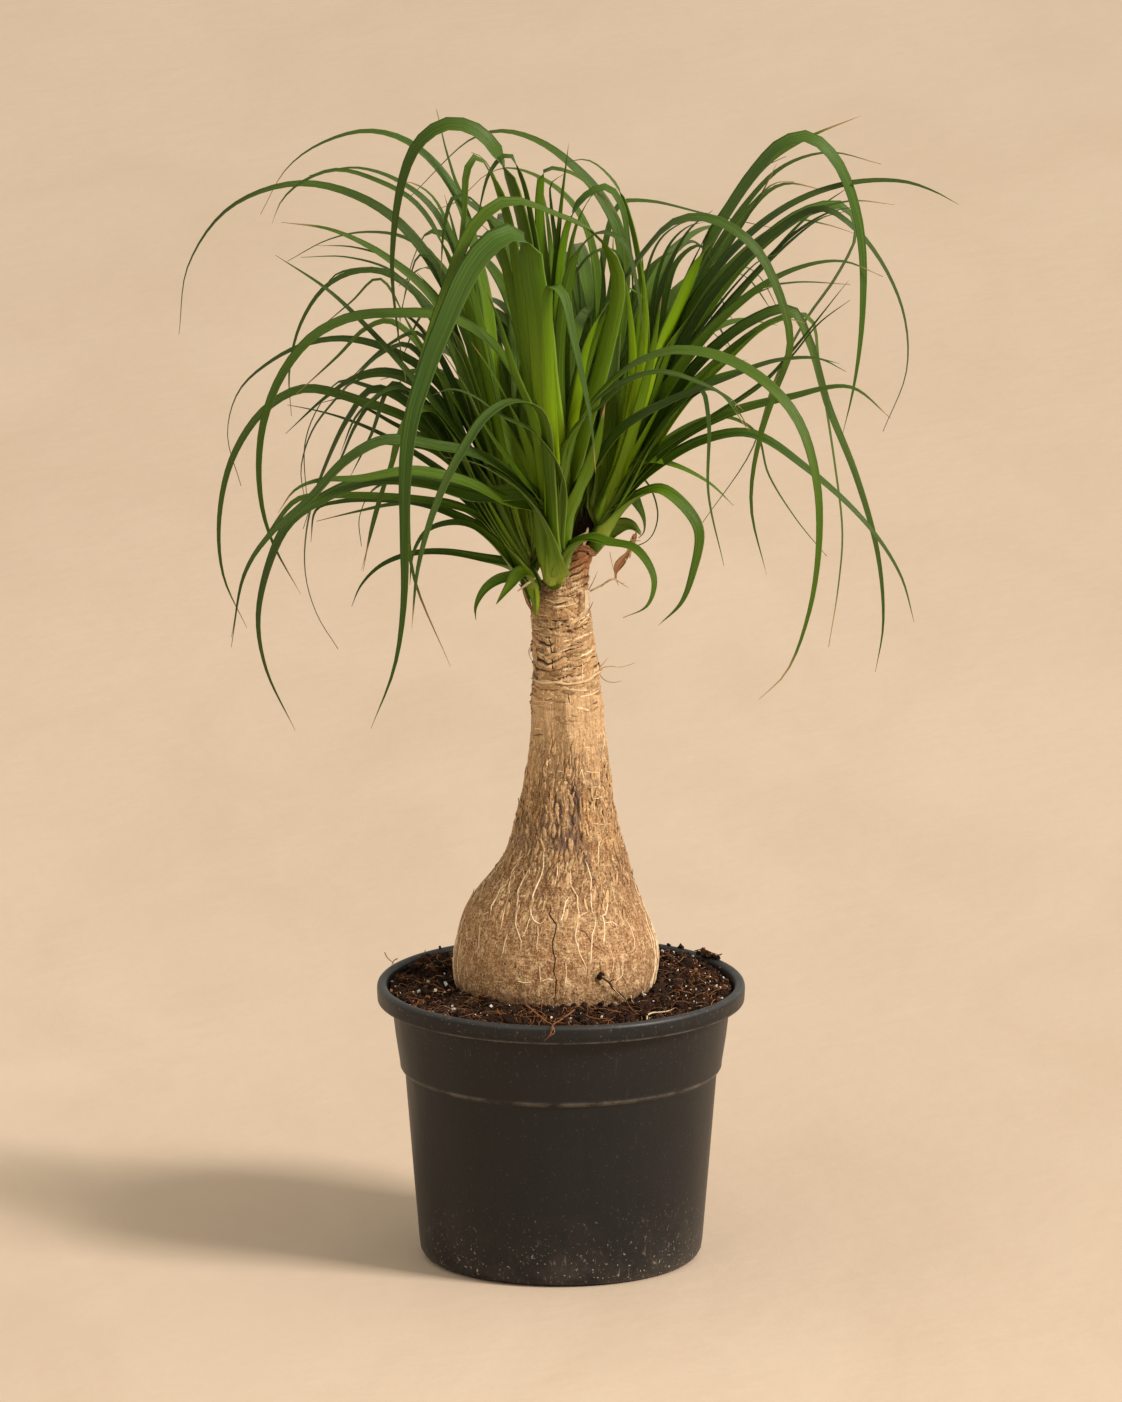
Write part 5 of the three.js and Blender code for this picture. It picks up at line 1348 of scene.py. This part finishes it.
        (8, 3, (32, 390, 38, 402, 45, 397, 50, 381, 46, 369, 38, 365, 27, 366)),
        (10, 4, (42, 430, 80, 495, 104, 520, 128, 537, 150, 543, 172, 541)),
        (-5, 7, (36, 430, 40, 480, 42, 500, 42, 518)),
        (5, 6, (34, 430, 36, 480, 37, 500, 35, 515)),
        (10, 6, (40, 430, 42, 470, 44, 505, 51, 523, 61, 531, 72, 534)),
        (20, 5, (42, 430, 46, 475, 50, 505, 57, 522, 66, 530, 74, 532)),
        (0, 6, (42, 430, 50, 465, 62, 498, 74, 524, 82, 537, 92, 549)),
        (5, 7, (42, 430, 56, 480, 76, 520, 90, 545, 104, 560, 116, 566)),
        (-5, 6, (44, 430, 60, 475, 80, 506, 96, 523, 108, 533)),
        (40, 8, (42, 440, 62, 490, 82, 522, 98, 541, 110, 552, 120, 553)),
        (10, 7, (44, 420, 60, 455, 80, 480, 98, 494, 112, 500)),
        (0, 6, (44, 425, 58, 458, 74, 480, 90, 500, 102, 512, 112, 516)),
        (-5, 9, (44, 410, 64, 440, 88, 463, 104, 477, 116, 482, 126, 480)),
        (-12, 7, (40, 405, 56, 432, 74, 449, 95, 456, 112, 461, 130, 462, 144, 459)),
        (-8, 7, (40, 405, 54, 428, 72, 450, 84, 460, 96, 461)),
        (-25, 5, (38, 400, 52, 427, 66, 441, 76, 446, 86, 442, 94, 435)),
        (20, 7, (44, 430, 76, 478, 100, 506, 120, 526, 138, 537, 152, 540)),
        (15, 7, (44, 430, 70, 468, 96, 500, 118, 522, 134, 534, 148, 538)),
        (28, 8, (40, 420, 48, 460, 62, 490, 80, 512)),
        (45, 8, (40, 430, 44, 470, 54, 505, 66, 528, 78, 538)),
    ],
    "back": [
        (50, 10, (18, 430, 30, 480, 31, 522, 20, 546, 4, 563, -12, 574, -30, 579, -46, 575, -78, 545)),
        (70, 7, (16, 430, 20, 490, 12, 532, -4, 551, -26, 560, -38, 557, -48, 548)),
        (85, 5, (16, 430, 20, 500, 30, 541, 44, 543, 76, 536, 110, 529)),
        (35, 6, (12, 430, -20, 520, -50, 545, -58, 565, -64, 590)),
        (20, 7, (16, 430, 22, 480, 26, 505, 27, 527)),
        (60, 12, (20, 420, 30, 470, 40, 500, 52, 514, 63, 518)),
        (50, 10, (16, 430, 20, 470, 22, 500, 20, 520)),
        (45, 9, (8, 430, 4, 480, 4, 515, 8, 534)),
    ],
}
# Each head's sunlit leaves by their number, how many leaves its others hide, and between which
# bearings in degrees these stand. The crown's mass is the outline of its dense part.
SUNLIT = {"front": (0, 13, 15, 37), "left": (1, 33), "right": (0, 5, 16, 18, 19, 41), "back": ()}
HIDDEN_LEAVES = {
    "front": (9, 20, 160),
    "left": (17, 80, 165),
    "right": (17, 20, 100),
    "back": (32, 50, 130),
}
CROWN_MASS = [
    (-22, 362), (-62, 412), (-92, 440), (-108, 470), (-105, 500), (-88, 528), (-66, 556), (-40, 565),
    (-5, 556), (26, 536), (45, 512), (66, 528), (98, 560), (124, 566), (138, 545), (132, 505), (112, 472),
    (82, 440), (52, 412), (38, 386), (20, 362),
]
BLADE_ROWS = 52
BLADE_UPPER = np.array([1, 0.72, 0.36, 0, -0.36, -0.72, -1])
BLADE_LOWER = np.array([-0.86, -0.45, 0, 0.45, 0.86])
LEAF_THICK = 0.00034
FACE_TURN = 0.65
SUNLIT_AGE = 2.0
WIDEST_ROOT = 0.0090
CORE_ROWS = 12
CORE_SIDES = 20


def seen_path(root, tip_depth, seen):
    """The leaf's places: its depth grows as a quarter sine of the length run so far."""
    flat_root = (root[0], root[2] * VIEW_COS + root[1] * VIEW_SIN)
    flat = np.vstack([flat_root, np.reshape(seen, (-1, 2))])
    run = length_so_far(flat)
    depth = root[1] + (tip_depth - root[1]) * np.sin(np.pi / 2 * run / run[-1])
    return place_seen(flat[:, 0], flat[:, 1], depth)


def hidden_path(root, direction, rise, fall, length):
    """The leaf leaves its root at the angle rise and bends to the angle fall below level."""
    run = (np.arange(6) + 0.5) / 6
    slope = rise - (rise + fall) * run ** 1.7
    stride = round_place(np.cos(slope), direction, np.sin(slope)) * length / 6
    return np.vstack([root, root + np.cumsum(stride, axis=0)]) / 1000


def inside(points, outline):
    """Whether flat points lie in the outline: a ray to the right crosses it an odd number of times."""
    start = np.array(outline, float)
    end = np.roll(start, -1, axis=0)
    x, y = points[:, :1], points[:, 1:]
    spans = (start[:, 1] > y) != (end[:, 1] > y)
    rise = np.where(end[:, 1] == start[:, 1], 1e-9, end[:, 1] - start[:, 1])
    crosses = x < start[:, 0] + (y - start[:, 1]) / rise * (end[:, 0] - start[:, 0])
    return (spans & crosses).sum(axis=1) % 2 == 1


def leaf_marks(count, tone, age_and_sunlit, under, ran):
    """The values that the leaf's finish reads at each point."""
    named = {"tone": tone, "age_and_sunlit": age_and_sunlit, "under": under, "ran": ran}
    return {name: np.broadcast_to(value, count) for name, value in named.items()}


def blade(path, width, clasp, tone, age_and_sunlit):
    """A strap leaf along a path.

    Across the leaf, v runs from -1 to 1: the upper face lies at channel times v squared above the
    midrib, and the lower face a thickness below it. The half width swells near the root to clasp
    the stalk, keeps its size and then falls as 1 less a power of the share of the length. The
    face turns to the front on a leaf that runs sideways, and twists a little on its way.
    """
    spine = curve_through(path, BLADE_ROWS)
    t = np.linspace(0, 1, BLADE_ROWS)[:, None]
    ran = t * np.linalg.norm(np.diff(spine, axis=0), axis=1).sum()
    along = np.gradient(spine, axis=0)
    along /= np.linalg.norm(along, axis=1, keepdims=True)
    out = path[-1] - path[0]
    out = out[:2] / (np.hypot(out[0], out[1]) + 1e-9)
    square = np.array([-out[1], out[0], 0])
    side = square - along * (along @ square)[:, None]
    side /= np.linalg.norm(side, axis=1, keepdims=True)
    face = np.cross(along, side)
    to_front = out[1] < 0
    rising = smooth_between(along[:, 2:], 0.86, 0.95) * to_front
    turn = FACE_TURN * square[1] * smooth_between(t, 0.0, 0.3 - 0.15 * to_front) * (1 - 2 * rising)
    turn = turn + 0.35 * np.sin(5 * t + 9 * tone) * t
    edge = side * np.cos(turn) + face * np.sin(turn)
    normal = face * np.cos(turn) - side * np.sin(turn)
    half = 0.47 * width * (1 - t ** 1.9) ** 1.1 + 0.00032 * (1 - t ** 14)
    half = half + (clasp - half) * np.exp(-(ran / 0.022) ** 2)
    half = half * (0.28 + 0.72 * smooth_between(ran, -0.001, 0.011))
    channel = half * (0.75 * np.exp(-(ran / 0.035) ** 2) + 0.30 * (1 - t) + 0.04)
    lift = channel * 0.45 * smooth_between(ran, 0.03, 0.08)
    thick = LEAF_THICK * (1 - 0.55 * t)
    wave = 0.03 * half * noise(np.concatenate([ran, ran * 0 + tone, ran * 0], axis=1), 0.012, 61)[:, None]
    v = np.concatenate([BLADE_UPPER, BLADE_LOWER])
    sink = np.concatenate([0 * BLADE_UPPER, 2.2 - 1.2 * np.abs(BLADE_LOWER)])
    skin = (spine[:, None] + edge[:, None] * (half * v + wave)[..., None]
            + normal[:, None] * (channel * v ** 2 - lift - sink * thick)[..., None])
    columns = len(v)
    layout = np.stack(np.broadcast_arrays(v / 2 + 0.5, t), axis=-1).reshape(-1, 2)
    under = np.tile(sink > 0, BLADE_ROWS)
    return skin.reshape(-1, 3), tube_faces(BLADE_ROWS, columns), layout, leaf_marks(
        BLADE_ROWS * columns, tone, age_and_sunlit, under, np.repeat(ran[:, 0], columns))


def bunch(name, blades, material):
    """All blades of a head in one mesh."""
    points, faces, layouts = [], [], []
    marks = {}
    start = 0
    for corners, sides, layout, values in blades:
        points.append(corners)
        faces += [[corner + start for corner in side] for side in sides]
        layouts.append(layout)
        for mark, value in values.items():
            marks.setdefault(mark, []).append(value)
        start += len(corners)
    return new_piece(name, np.vstack(points), faces, material, np.vstack(layouts),
                     {mark: np.concatenate(value) for mark, value in marks.items()})


def head_form(head):
    """The head's foot and heart, between which its stalk stands, and the stalk's radius."""
    return (np.array(value, float) for value in HEADS[head])


def leaf_root(head, direction, lean):
    """Where a leaf springs from the head's stalk: one that leans out starts lower and further out."""
    foot, heart, radius = head_form(head)
    way = np.array([math.cos(direction), math.sin(direction), 0.6 * abs(math.cos(direction))])
    return foot + (heart - foot) * (-0.04 + 0.50 * (1 - lean)) + radius * (0.25 + 0.55 * lean) * way


def head_blade(path, width, age_and_sunlit, tone):
    """A blade whose root is wider than itself, up to the widest root."""
    return blade(path, width, min(WIDEST_ROOT, 0.0030 + 0.46 * width), tone, age_and_sunlit)


def shown_blades(head):
    """The blades that show in the photo, one for each row of the head's table."""
    foot, _, _ = head_form(head)
    made = []
    for number, (tip_depth, width, seen) in enumerate(LEAVES[head]):
        direction = math.atan2(tip_depth - foot[1], seen[-2] - foot[0])
        first = np.hypot(seen[0] - foot[0], 0.35 * (tip_depth - foot[1]))
        lean = min(1.0, first / max(seen[1] - foot[2] * VIEW_COS, 1.0) * 1.3)
        path = seen_path(leaf_root(head, direction, lean), tip_depth, seen)
        # A sunlit leaf gets an age above any true one, which lays the painted sunlit colour on it.
        age_and_sunlit = SUNLIT_AGE if number in SUNLIT[head] else 1 - lean
        made.append(head_blade(path, width / 1000, age_and_sunlit, own_tone(number, 0.37)))
    return made


def hidden_blades(head, rng):
    """Seeded blades behind and inside the others, kept where the crown is dense."""
    count, start, end = HIDDEN_LEAVES[head]
    made = []
    while len(made) < count:
        direction = math.radians(rng.uniform(start, end))
        rise, fall = np.radians(rng.uniform((58, 20), (87, 80)))
        length = rng.uniform(150, 285)
        lean = min(1.0, 1.6 - rise)
        path = hidden_path(leaf_root(head, direction, lean), direction, rise, fall, length)
        up = path[:, 2] * VIEW_COS + path[:, 1] * VIEW_SIN
        if inside(np.stack([path[1:, 0], up[1:]], axis=1) * 1000, CROWN_MASS).all():
            width = rng.uniform(0.007, 0.012)
            made.append(head_blade(path, width, 1 - lean, own_tone(len(made), 0.71)))
    return made


def stalk_core(head):
    """The stalk in the middle of the leaves' roots: a tube that swells and closes at the heart."""
    foot, heart, radius = head_form(head)
    stalk = foot + (heart - foot) * np.linspace(-0.06, 0.96, CORE_ROWS)[:, None]
    swell = np.interp(np.linspace(0, 1, CORE_ROWS), [0, 0.2, 0.5, 0.8, 1], [0.45, 0.72, 0.66, 0.5, 0.2])
    core = tube_rings(stalk / 1000, radius / 1000 * swell, CORE_SIDES)
    count = CORE_ROWS * CORE_SIDES
    return (core.reshape(-1, 3), tube_faces(CORE_ROWS, CORE_SIDES), np.full((count, 2), (0.5, 0.1)),
            leaf_marks(count, 0.5, 0.4, 1.0, 0.06))


leaf = Finish("palm_leaf_green", Roughness=0.42, Specular_IOR_Level=0.20)
across, along, _ = leaf.parts(leaf.add("UVMap", uv_map="layout"))
tone = leaf.mark("tone")
age_and_sunlit = leaf.mark("age_and_sunlit")
under = leaf.mark("under")
ran = leaf.mark("ran")
ran_quarter = leaf.times(ran, 4.0)
ran_half = leaf.times(ran, 2.0)
own_layer = leaf.times(tone, 40.0)
off_tone = leaf.calc("SUBTRACT", tone, 0.5)
strip = leaf.add("CombineXYZ", {0: leaf.times(across, 15.0), 1: leaf.times(ran, 9.0), 2: own_layer})
veins = leaf.cloud(strip, 1.6, 3.0, 0.6)
stretch = leaf.add("CombineXYZ", {0: leaf.times(across, 3.0), 1: leaf.times(ran, 30.0), 2: own_layer})
broad = leaf.cloud(stretch, 1.0, 3.0)
upper = leaf.calc("SUBTRACT", 1.0, under)
rim = leaf.calc("ABSOLUTE", leaf.calc("SUBTRACT", across, 0.5))
tip = leaf.plus(along, leaf.times(off_tone, 0.10))
young = leaf.steps(ran_quarter, (0.0, (0.46, 0.54, 0.08)), (0.12, (0.30, 0.44, 0.010)),
                   (0.32, (0.130, 0.25, 0.002)), (0.75, (0.042, 0.104, 0.001)))
old = leaf.steps(ran_quarter, (0.0, (0.42, 0.52, 0.08)), (0.09, (0.105, 0.200, 0.005)),
                 (0.28, (0.026, 0.066, 0.001)), (0.9, (0.019, 0.050, 0.001)))
sunlit = leaf.steps(ran_quarter, (0.0, (0.16, 0.30, 0.01)), (0.25, (0.36, 0.54, 0.004)),
                    (0.44, (0.20, 0.35, 0.003)), (0.66, (0.085, 0.19, 0.003)), (0.9, (0.040, 0.11, 0.010)))
leaf.base = old
leaf.coat(young, leaf.plus(age_and_sunlit, leaf.times(off_tone, 0.7)), (0.25, 0.0), (0.95, 1.0))
leaf.coat((0.085, 0.165, 0.006), broad, (0.35, 0.0), (0.7, 1.0), by=(0.30,))
leaf.coat((0.012, 0.040, 0.002), tone, (0.0, 0.55), (0.35, 0.0), (0.60, 0.0))
leaf.coat((0.105, 0.20, 0.004), tone, (0.60, 0.0), (1.0, 0.55))
leaf.coat(sunlit, leaf.times(age_and_sunlit, 0.5), (0.70, 0.0), (0.72, 1.0))
leaf.coat((0.20, 0.30, 0.012), veins, (0.48, 0.0), (0.68, 0.42))
leaf.coat((0.014, 0.045, 0.001), veins, (0.30, 0.55), (0.46, 0.0))
leaf.coat((0.28, 0.38, 0.08), rim, (0.45, 0.0), (0.49, 0.60))
# Painted sheen: a grey-green reflection, with some bloom, on the upper face, strongest a little way out
# from the root.
leaf.coat((0.078, 0.120, 0.042), ran_half, (0.10, 0.0), (0.40, 0.30), (0.62, 0.08), by=(upper,))
leaf.coat((0.075, 0.150, 0.001), ran_half, (0.0, 0.1), (0.3, 0.35), by=(under,))
leaf.coat((0.026, 0.046, 0.001), ran_half, (0.22, 0.0), (0.55, 0.30))
leaf.coat((0.36, 0.24, 0.09), tip, (0.955, 0.0), (0.99, 1.0))
leaf_green = leaf.close((veins, 0.00035), roughness=leaf.plus(leaf.times(veins, 0.18), 0.30))

rng = np.random.default_rng(71)
for head in HEADS:
    blades = shown_blades(head) + hidden_blades(head, rng) + [stalk_core(head)]
    settle(bunch(f"{head}_head_leaves", blades, leaf_green), "leaf", f"leaf_head_{head}")

# The side shoot: a young offset that breaks out of the trunk's top below the left head. Its pale
# sheath tapers down into the bark, two short leaves curl out of it, and a dead strip lies on it.
SHOOT_FOOT = np.array([-13.5, -9, 348.5])
SHOOT_CLASP = 0.0030
SHOOT_AGE = 0.35
# Each leaf is the depth of its tip, its width, and the places seen, in millimetres.
SHOOT_LEAVES = [
    (-14, 8.5, (-20, 349.5, -25, 348.4, -31.7, 347.4, -37.5, 344.2, -41.5, 339.4, -44, 333.2, -44, 327)),
    (-22, 12.5, (-18.5, 350.5, -21.5, 350.2, -25, 345.6, -29.6, 340.1, -33.6, 335)),
    (-18, 6, (-18, 352, -23, 360, -29, 366)),
]
# Each scrap is depths, places seen and half widths along it, in millimetres, then its curl, tone,
# the length it counts from the root in metres, and its age.
SHOOT_SCRAPS = [
    ((-11, -13, -14.5), (-12.8, 329.0, -13.0, 333, -13.6, 338, -14.6, 343, -15.6, 348.5),
     (0.4, 1.4, 2.3, 3.3, 3.6), -0.6, 0.4, 0.050, 0.7),
    ((-13, -15, -15), (-12.4, 329.6, -12.0, 334, -12.0, 340, -13.0, 346.5), (0.4, 1.1, 1.3, 1.2),
     -0.5, 0.7, 0.022, 0.9),
    ((-11, -12, -11), (-16.0, 336.5, -17.2, 340, -18.4, 344, -19.6, 348.5), (0.3, 1.1, 1.5, 1.4),
     -0.5, 0.2, 0.090, 0.4),
]
SCRAP_ROWS = 28
SCRAP_FACING = np.array([0.15, -1, 0.25])
SCRAP_V = np.array([1, 0.6, 0.2, -0.2, -0.6, -1, -0.6, -0.2, 0.2, 0.6])
SCRAP_BACK = np.array([0.5, 0, 0, 0, 0, 0.5, 1, 1, 1, 1])
SCRAP_THICK = 0.0003


def scrap(depths, seen, half, curl, tone, ran=0.05, age_and_sunlit=0.3):
    """A short ribbon through places seen that shows its face to the front.

    Across it v runs from -1 to 1: the face bends up by curl times the half width times v squared,
    its edges ripple, and the back lies a thickness behind.
    """
    across, up = np.reshape(seen, (-1, 2)).T
    depth = np.interp(np.linspace(0, 1, len(across)), np.linspace(0, 1, len(depths)), depths)
    spine = curve_through(place_seen(across, up, depth), SCRAP_ROWS)
    along = np.gradient(spine, axis=0)
    along /= np.linalg.norm(along, axis=1, keepdims=True)
    side = np.cross(along, SCRAP_FACING)
    side /= np.linalg.norm(side, axis=1, keepdims=True)
    normal = np.cross(side, along)
    t = np.linspace(0, 1, SCRAP_ROWS)[:, None]
    wide = np.interp(t, np.linspace(0, 1, len(half)), half) / 1000
    place = np.stack(np.broadcast_arrays(t * 0.05, 0.004 * SCRAP_V + tone, 0.0), axis=-1)
    rise = wide * curl * SCRAP_V ** 2 + 0.22 * wide * noise(place, 0.006, 73, 2) - SCRAP_THICK * SCRAP_BACK
    sideways = side[:, None] * (wide * SCRAP_V)[..., None]
    points = spine[:, None] + sideways + normal[:, None] * rise[..., None]
    columns = len(SCRAP_V)
    layout = np.stack(np.broadcast_arrays(SCRAP_V / 2 + 0.5, t), axis=-1).reshape(-1, 2)
    return points.reshape(-1, 3), tube_faces(SCRAP_ROWS, columns), layout, leaf_marks(
        SCRAP_ROWS * columns, tone, age_and_sunlit, np.tile(SCRAP_BACK, SCRAP_ROWS), ran)


shoot_blades = []
for number, (tip_depth, width, seen) in enumerate(SHOOT_LEAVES):
    path = seen_path(SHOOT_FOOT, tip_depth, seen)
    shoot_blades.append(blade(path, width / 1000, SHOOT_CLASP, 0.2 + 0.2 * number, SHOOT_AGE))
shoot_blades += [scrap(*row) for row in SHOOT_SCRAPS]
settle(bunch("side_shoot_leaves", shoot_blades, leaf_green), "leaf", "side_shoot")

# The dead leaf: one brown, brittle scrap, twisted and frayed, that hangs on the right of the trunk's
# top by a dry stalk and a thread, with the dead stubs and pale strips left round the leaf bases.
PALE_STUBS = 9
# The scraps are given as the side shoot's, up to their tone. Each stalk is a radius, then across,
# up and depth of its places from end to end.
DRY_SCRAPS = [
    ((-8, -12, -14, -13), (28.2, 348.4, 28.2, 351.3, 29.2, 354.6, 31.5, 357.8, 33.7, 360.5, 35.1, 363.1,
                           36.4, 366.4, 37.4, 369, 38, 371.3),
     (0.5, 0.7, 1.9, 2.4, 1.9, 1.0, 1.0, 1.6, 0.9), 0.5, 0.5),
    ((-13, -14), (33.9, 360.0, 35.6, 362.4, 35.4, 358.8), (0.4, 0.7, 0.3), 0.3, 0.6),
    ((-13, -15), (37.2, 366.8, 38.2, 369.5, 38.8, 372.4), (0.5, 0.9, 0.3), 0.3, 0.45),
    ((-10, -13, -13), (12.8, 342.6, 13.5, 338, 13.2, 333.5, 11.9, 330.0, 11.0, 328.6),
     (0.5, 1.3, 1.4, 0.9, 0.3), 0.4, 1.05),
    ((-13, -17, -18), (-22.4, 341.8, -17.8, 345.3, -13.2, 348.6), (0.3, 0.7, 0.5), 0.4, 1.3),
    ((-6, -11), (6.6, 367.2, 9.4, 369.6, 12.4, 371.6), (0.4, 1.0, 0.5), 0.4, 1.25),
    ((-7, -9), (9.6, 366.4, 11.0, 368.8, 13.6, 372.8), (0.3, 0.7, 0.3), 0.4, 1.2),
    ((-5, -6), (11.8, 365.4, 12.6, 369, 13.9, 374.4), (0.6, 1.2, 0.4), 0.4, 0.9),
    ((-3, -3), (14.6, 363.4, 16.0, 361.4, 18.4, 360.8), (1.2, 1.8, 0.7), 0.5, 0.35),
    ((-4, -4), (6.4, 362.6, 10.0, 364.2, 14.6, 363.2), (0.9, 1.8, 0.9), 0.5, 0.3),
    ((-9, -11, -9), (-14.6, 331.5, -16.8, 336.5, -18.6, 341.5, -20.4, 346.0), (0.6, 1.2, 1.1, 0.4),
     -0.5, 0.3),
    ((-10, -12, -11), (-15.6, 333.5, -17.6, 338.0, -19.0, 342.0, -21.4, 345.4), (0.3, 0.6, 0.6, 0.3),
     -0.5, 0.55),
]
STALKS = [
    (0.55, (15, 341.9, -7, 17.7, 343.2, -8, 21.6, 345.2, -8, 25.6, 347.4, -8, 28.2, 348, -8)),
    (0.42, (20.5, 344.2, -8, 24, 347.2, -9, 28, 349, -9)),
    (0.34, (28.2, 348.2, -8, 29, 346.4, -8, 29.6, 344.6, -8)),
    (0.28, (28.2, 348.2, -8, 30.4, 346.4, -9, 33, 345.6, -10)),
    (0.26, (28.4, 347.8, -8, 31.6, 345.6, -9, 35.4, 343.2, -9)),
    (0.30, (27.6, 348.4, -8, 28.6, 347, -9, 31, 346.6, -10)),
    (0.22, (25.2, 362, -2, 26.1, 357, -6, 27.2, 352.6, -8, 28.2, 349.6, -8)),
    (0.20, (33.2, 358.8, -14, 33.6, 357.2, -14, 33.2, 355.8, -14)),
]

dry = Finish("dried_leaf_brown", Roughness=0.7, Specular_IOR_Level=0.3)
ribs = dry.cloud(dry.scaled(dry.add("UVMap", uv_map="layout"), 16.0, 1.4, 1.0), 1.0, 4.0, 0.65)
share = dry.plus(dry.times(dry.calc("SUBTRACT", dry.mark("tone"), 0.5), 0.5), ribs)
dry.base = dry.steps(share, (0.20, (0.018, 0.008, 0.004)), (0.36, (0.17, 0.070, 0.024)),
                     (0.52, (0.47, 0.235, 0.10)), (0.66, (0.66, 0.40, 0.20)), (0.85, (0.92, 0.78, 0.56)))
dry_brown = dry.close((ribs, 0.0005))
dry_scraps = [scrap(*row) for row in DRY_SCRAPS]
for number in range(PALE_STUBS):
    lean = number * 1.3 - 5.0
    third = number % 3
    seen = (10.5 + 0.55 * lean, 363.5, 10.8 + 0.75 * lean, 370, 11.6 + lean, 378 + 3.0 * third)
    dry_scraps.append(scrap((2, 5 + 0.8 * third), seen, (2.4, 2.2, 0.6), 0.5, -0.35 + 0.13 * third))
settle(bunch("dead_leaf_scraps", dry_scraps, dry_brown), "dry_leaf", "dry_leaf")
settle(traced_strands("dead_leaf_stalks", STALKS, straw, 22), "dry_leaf", "dry_leaf")
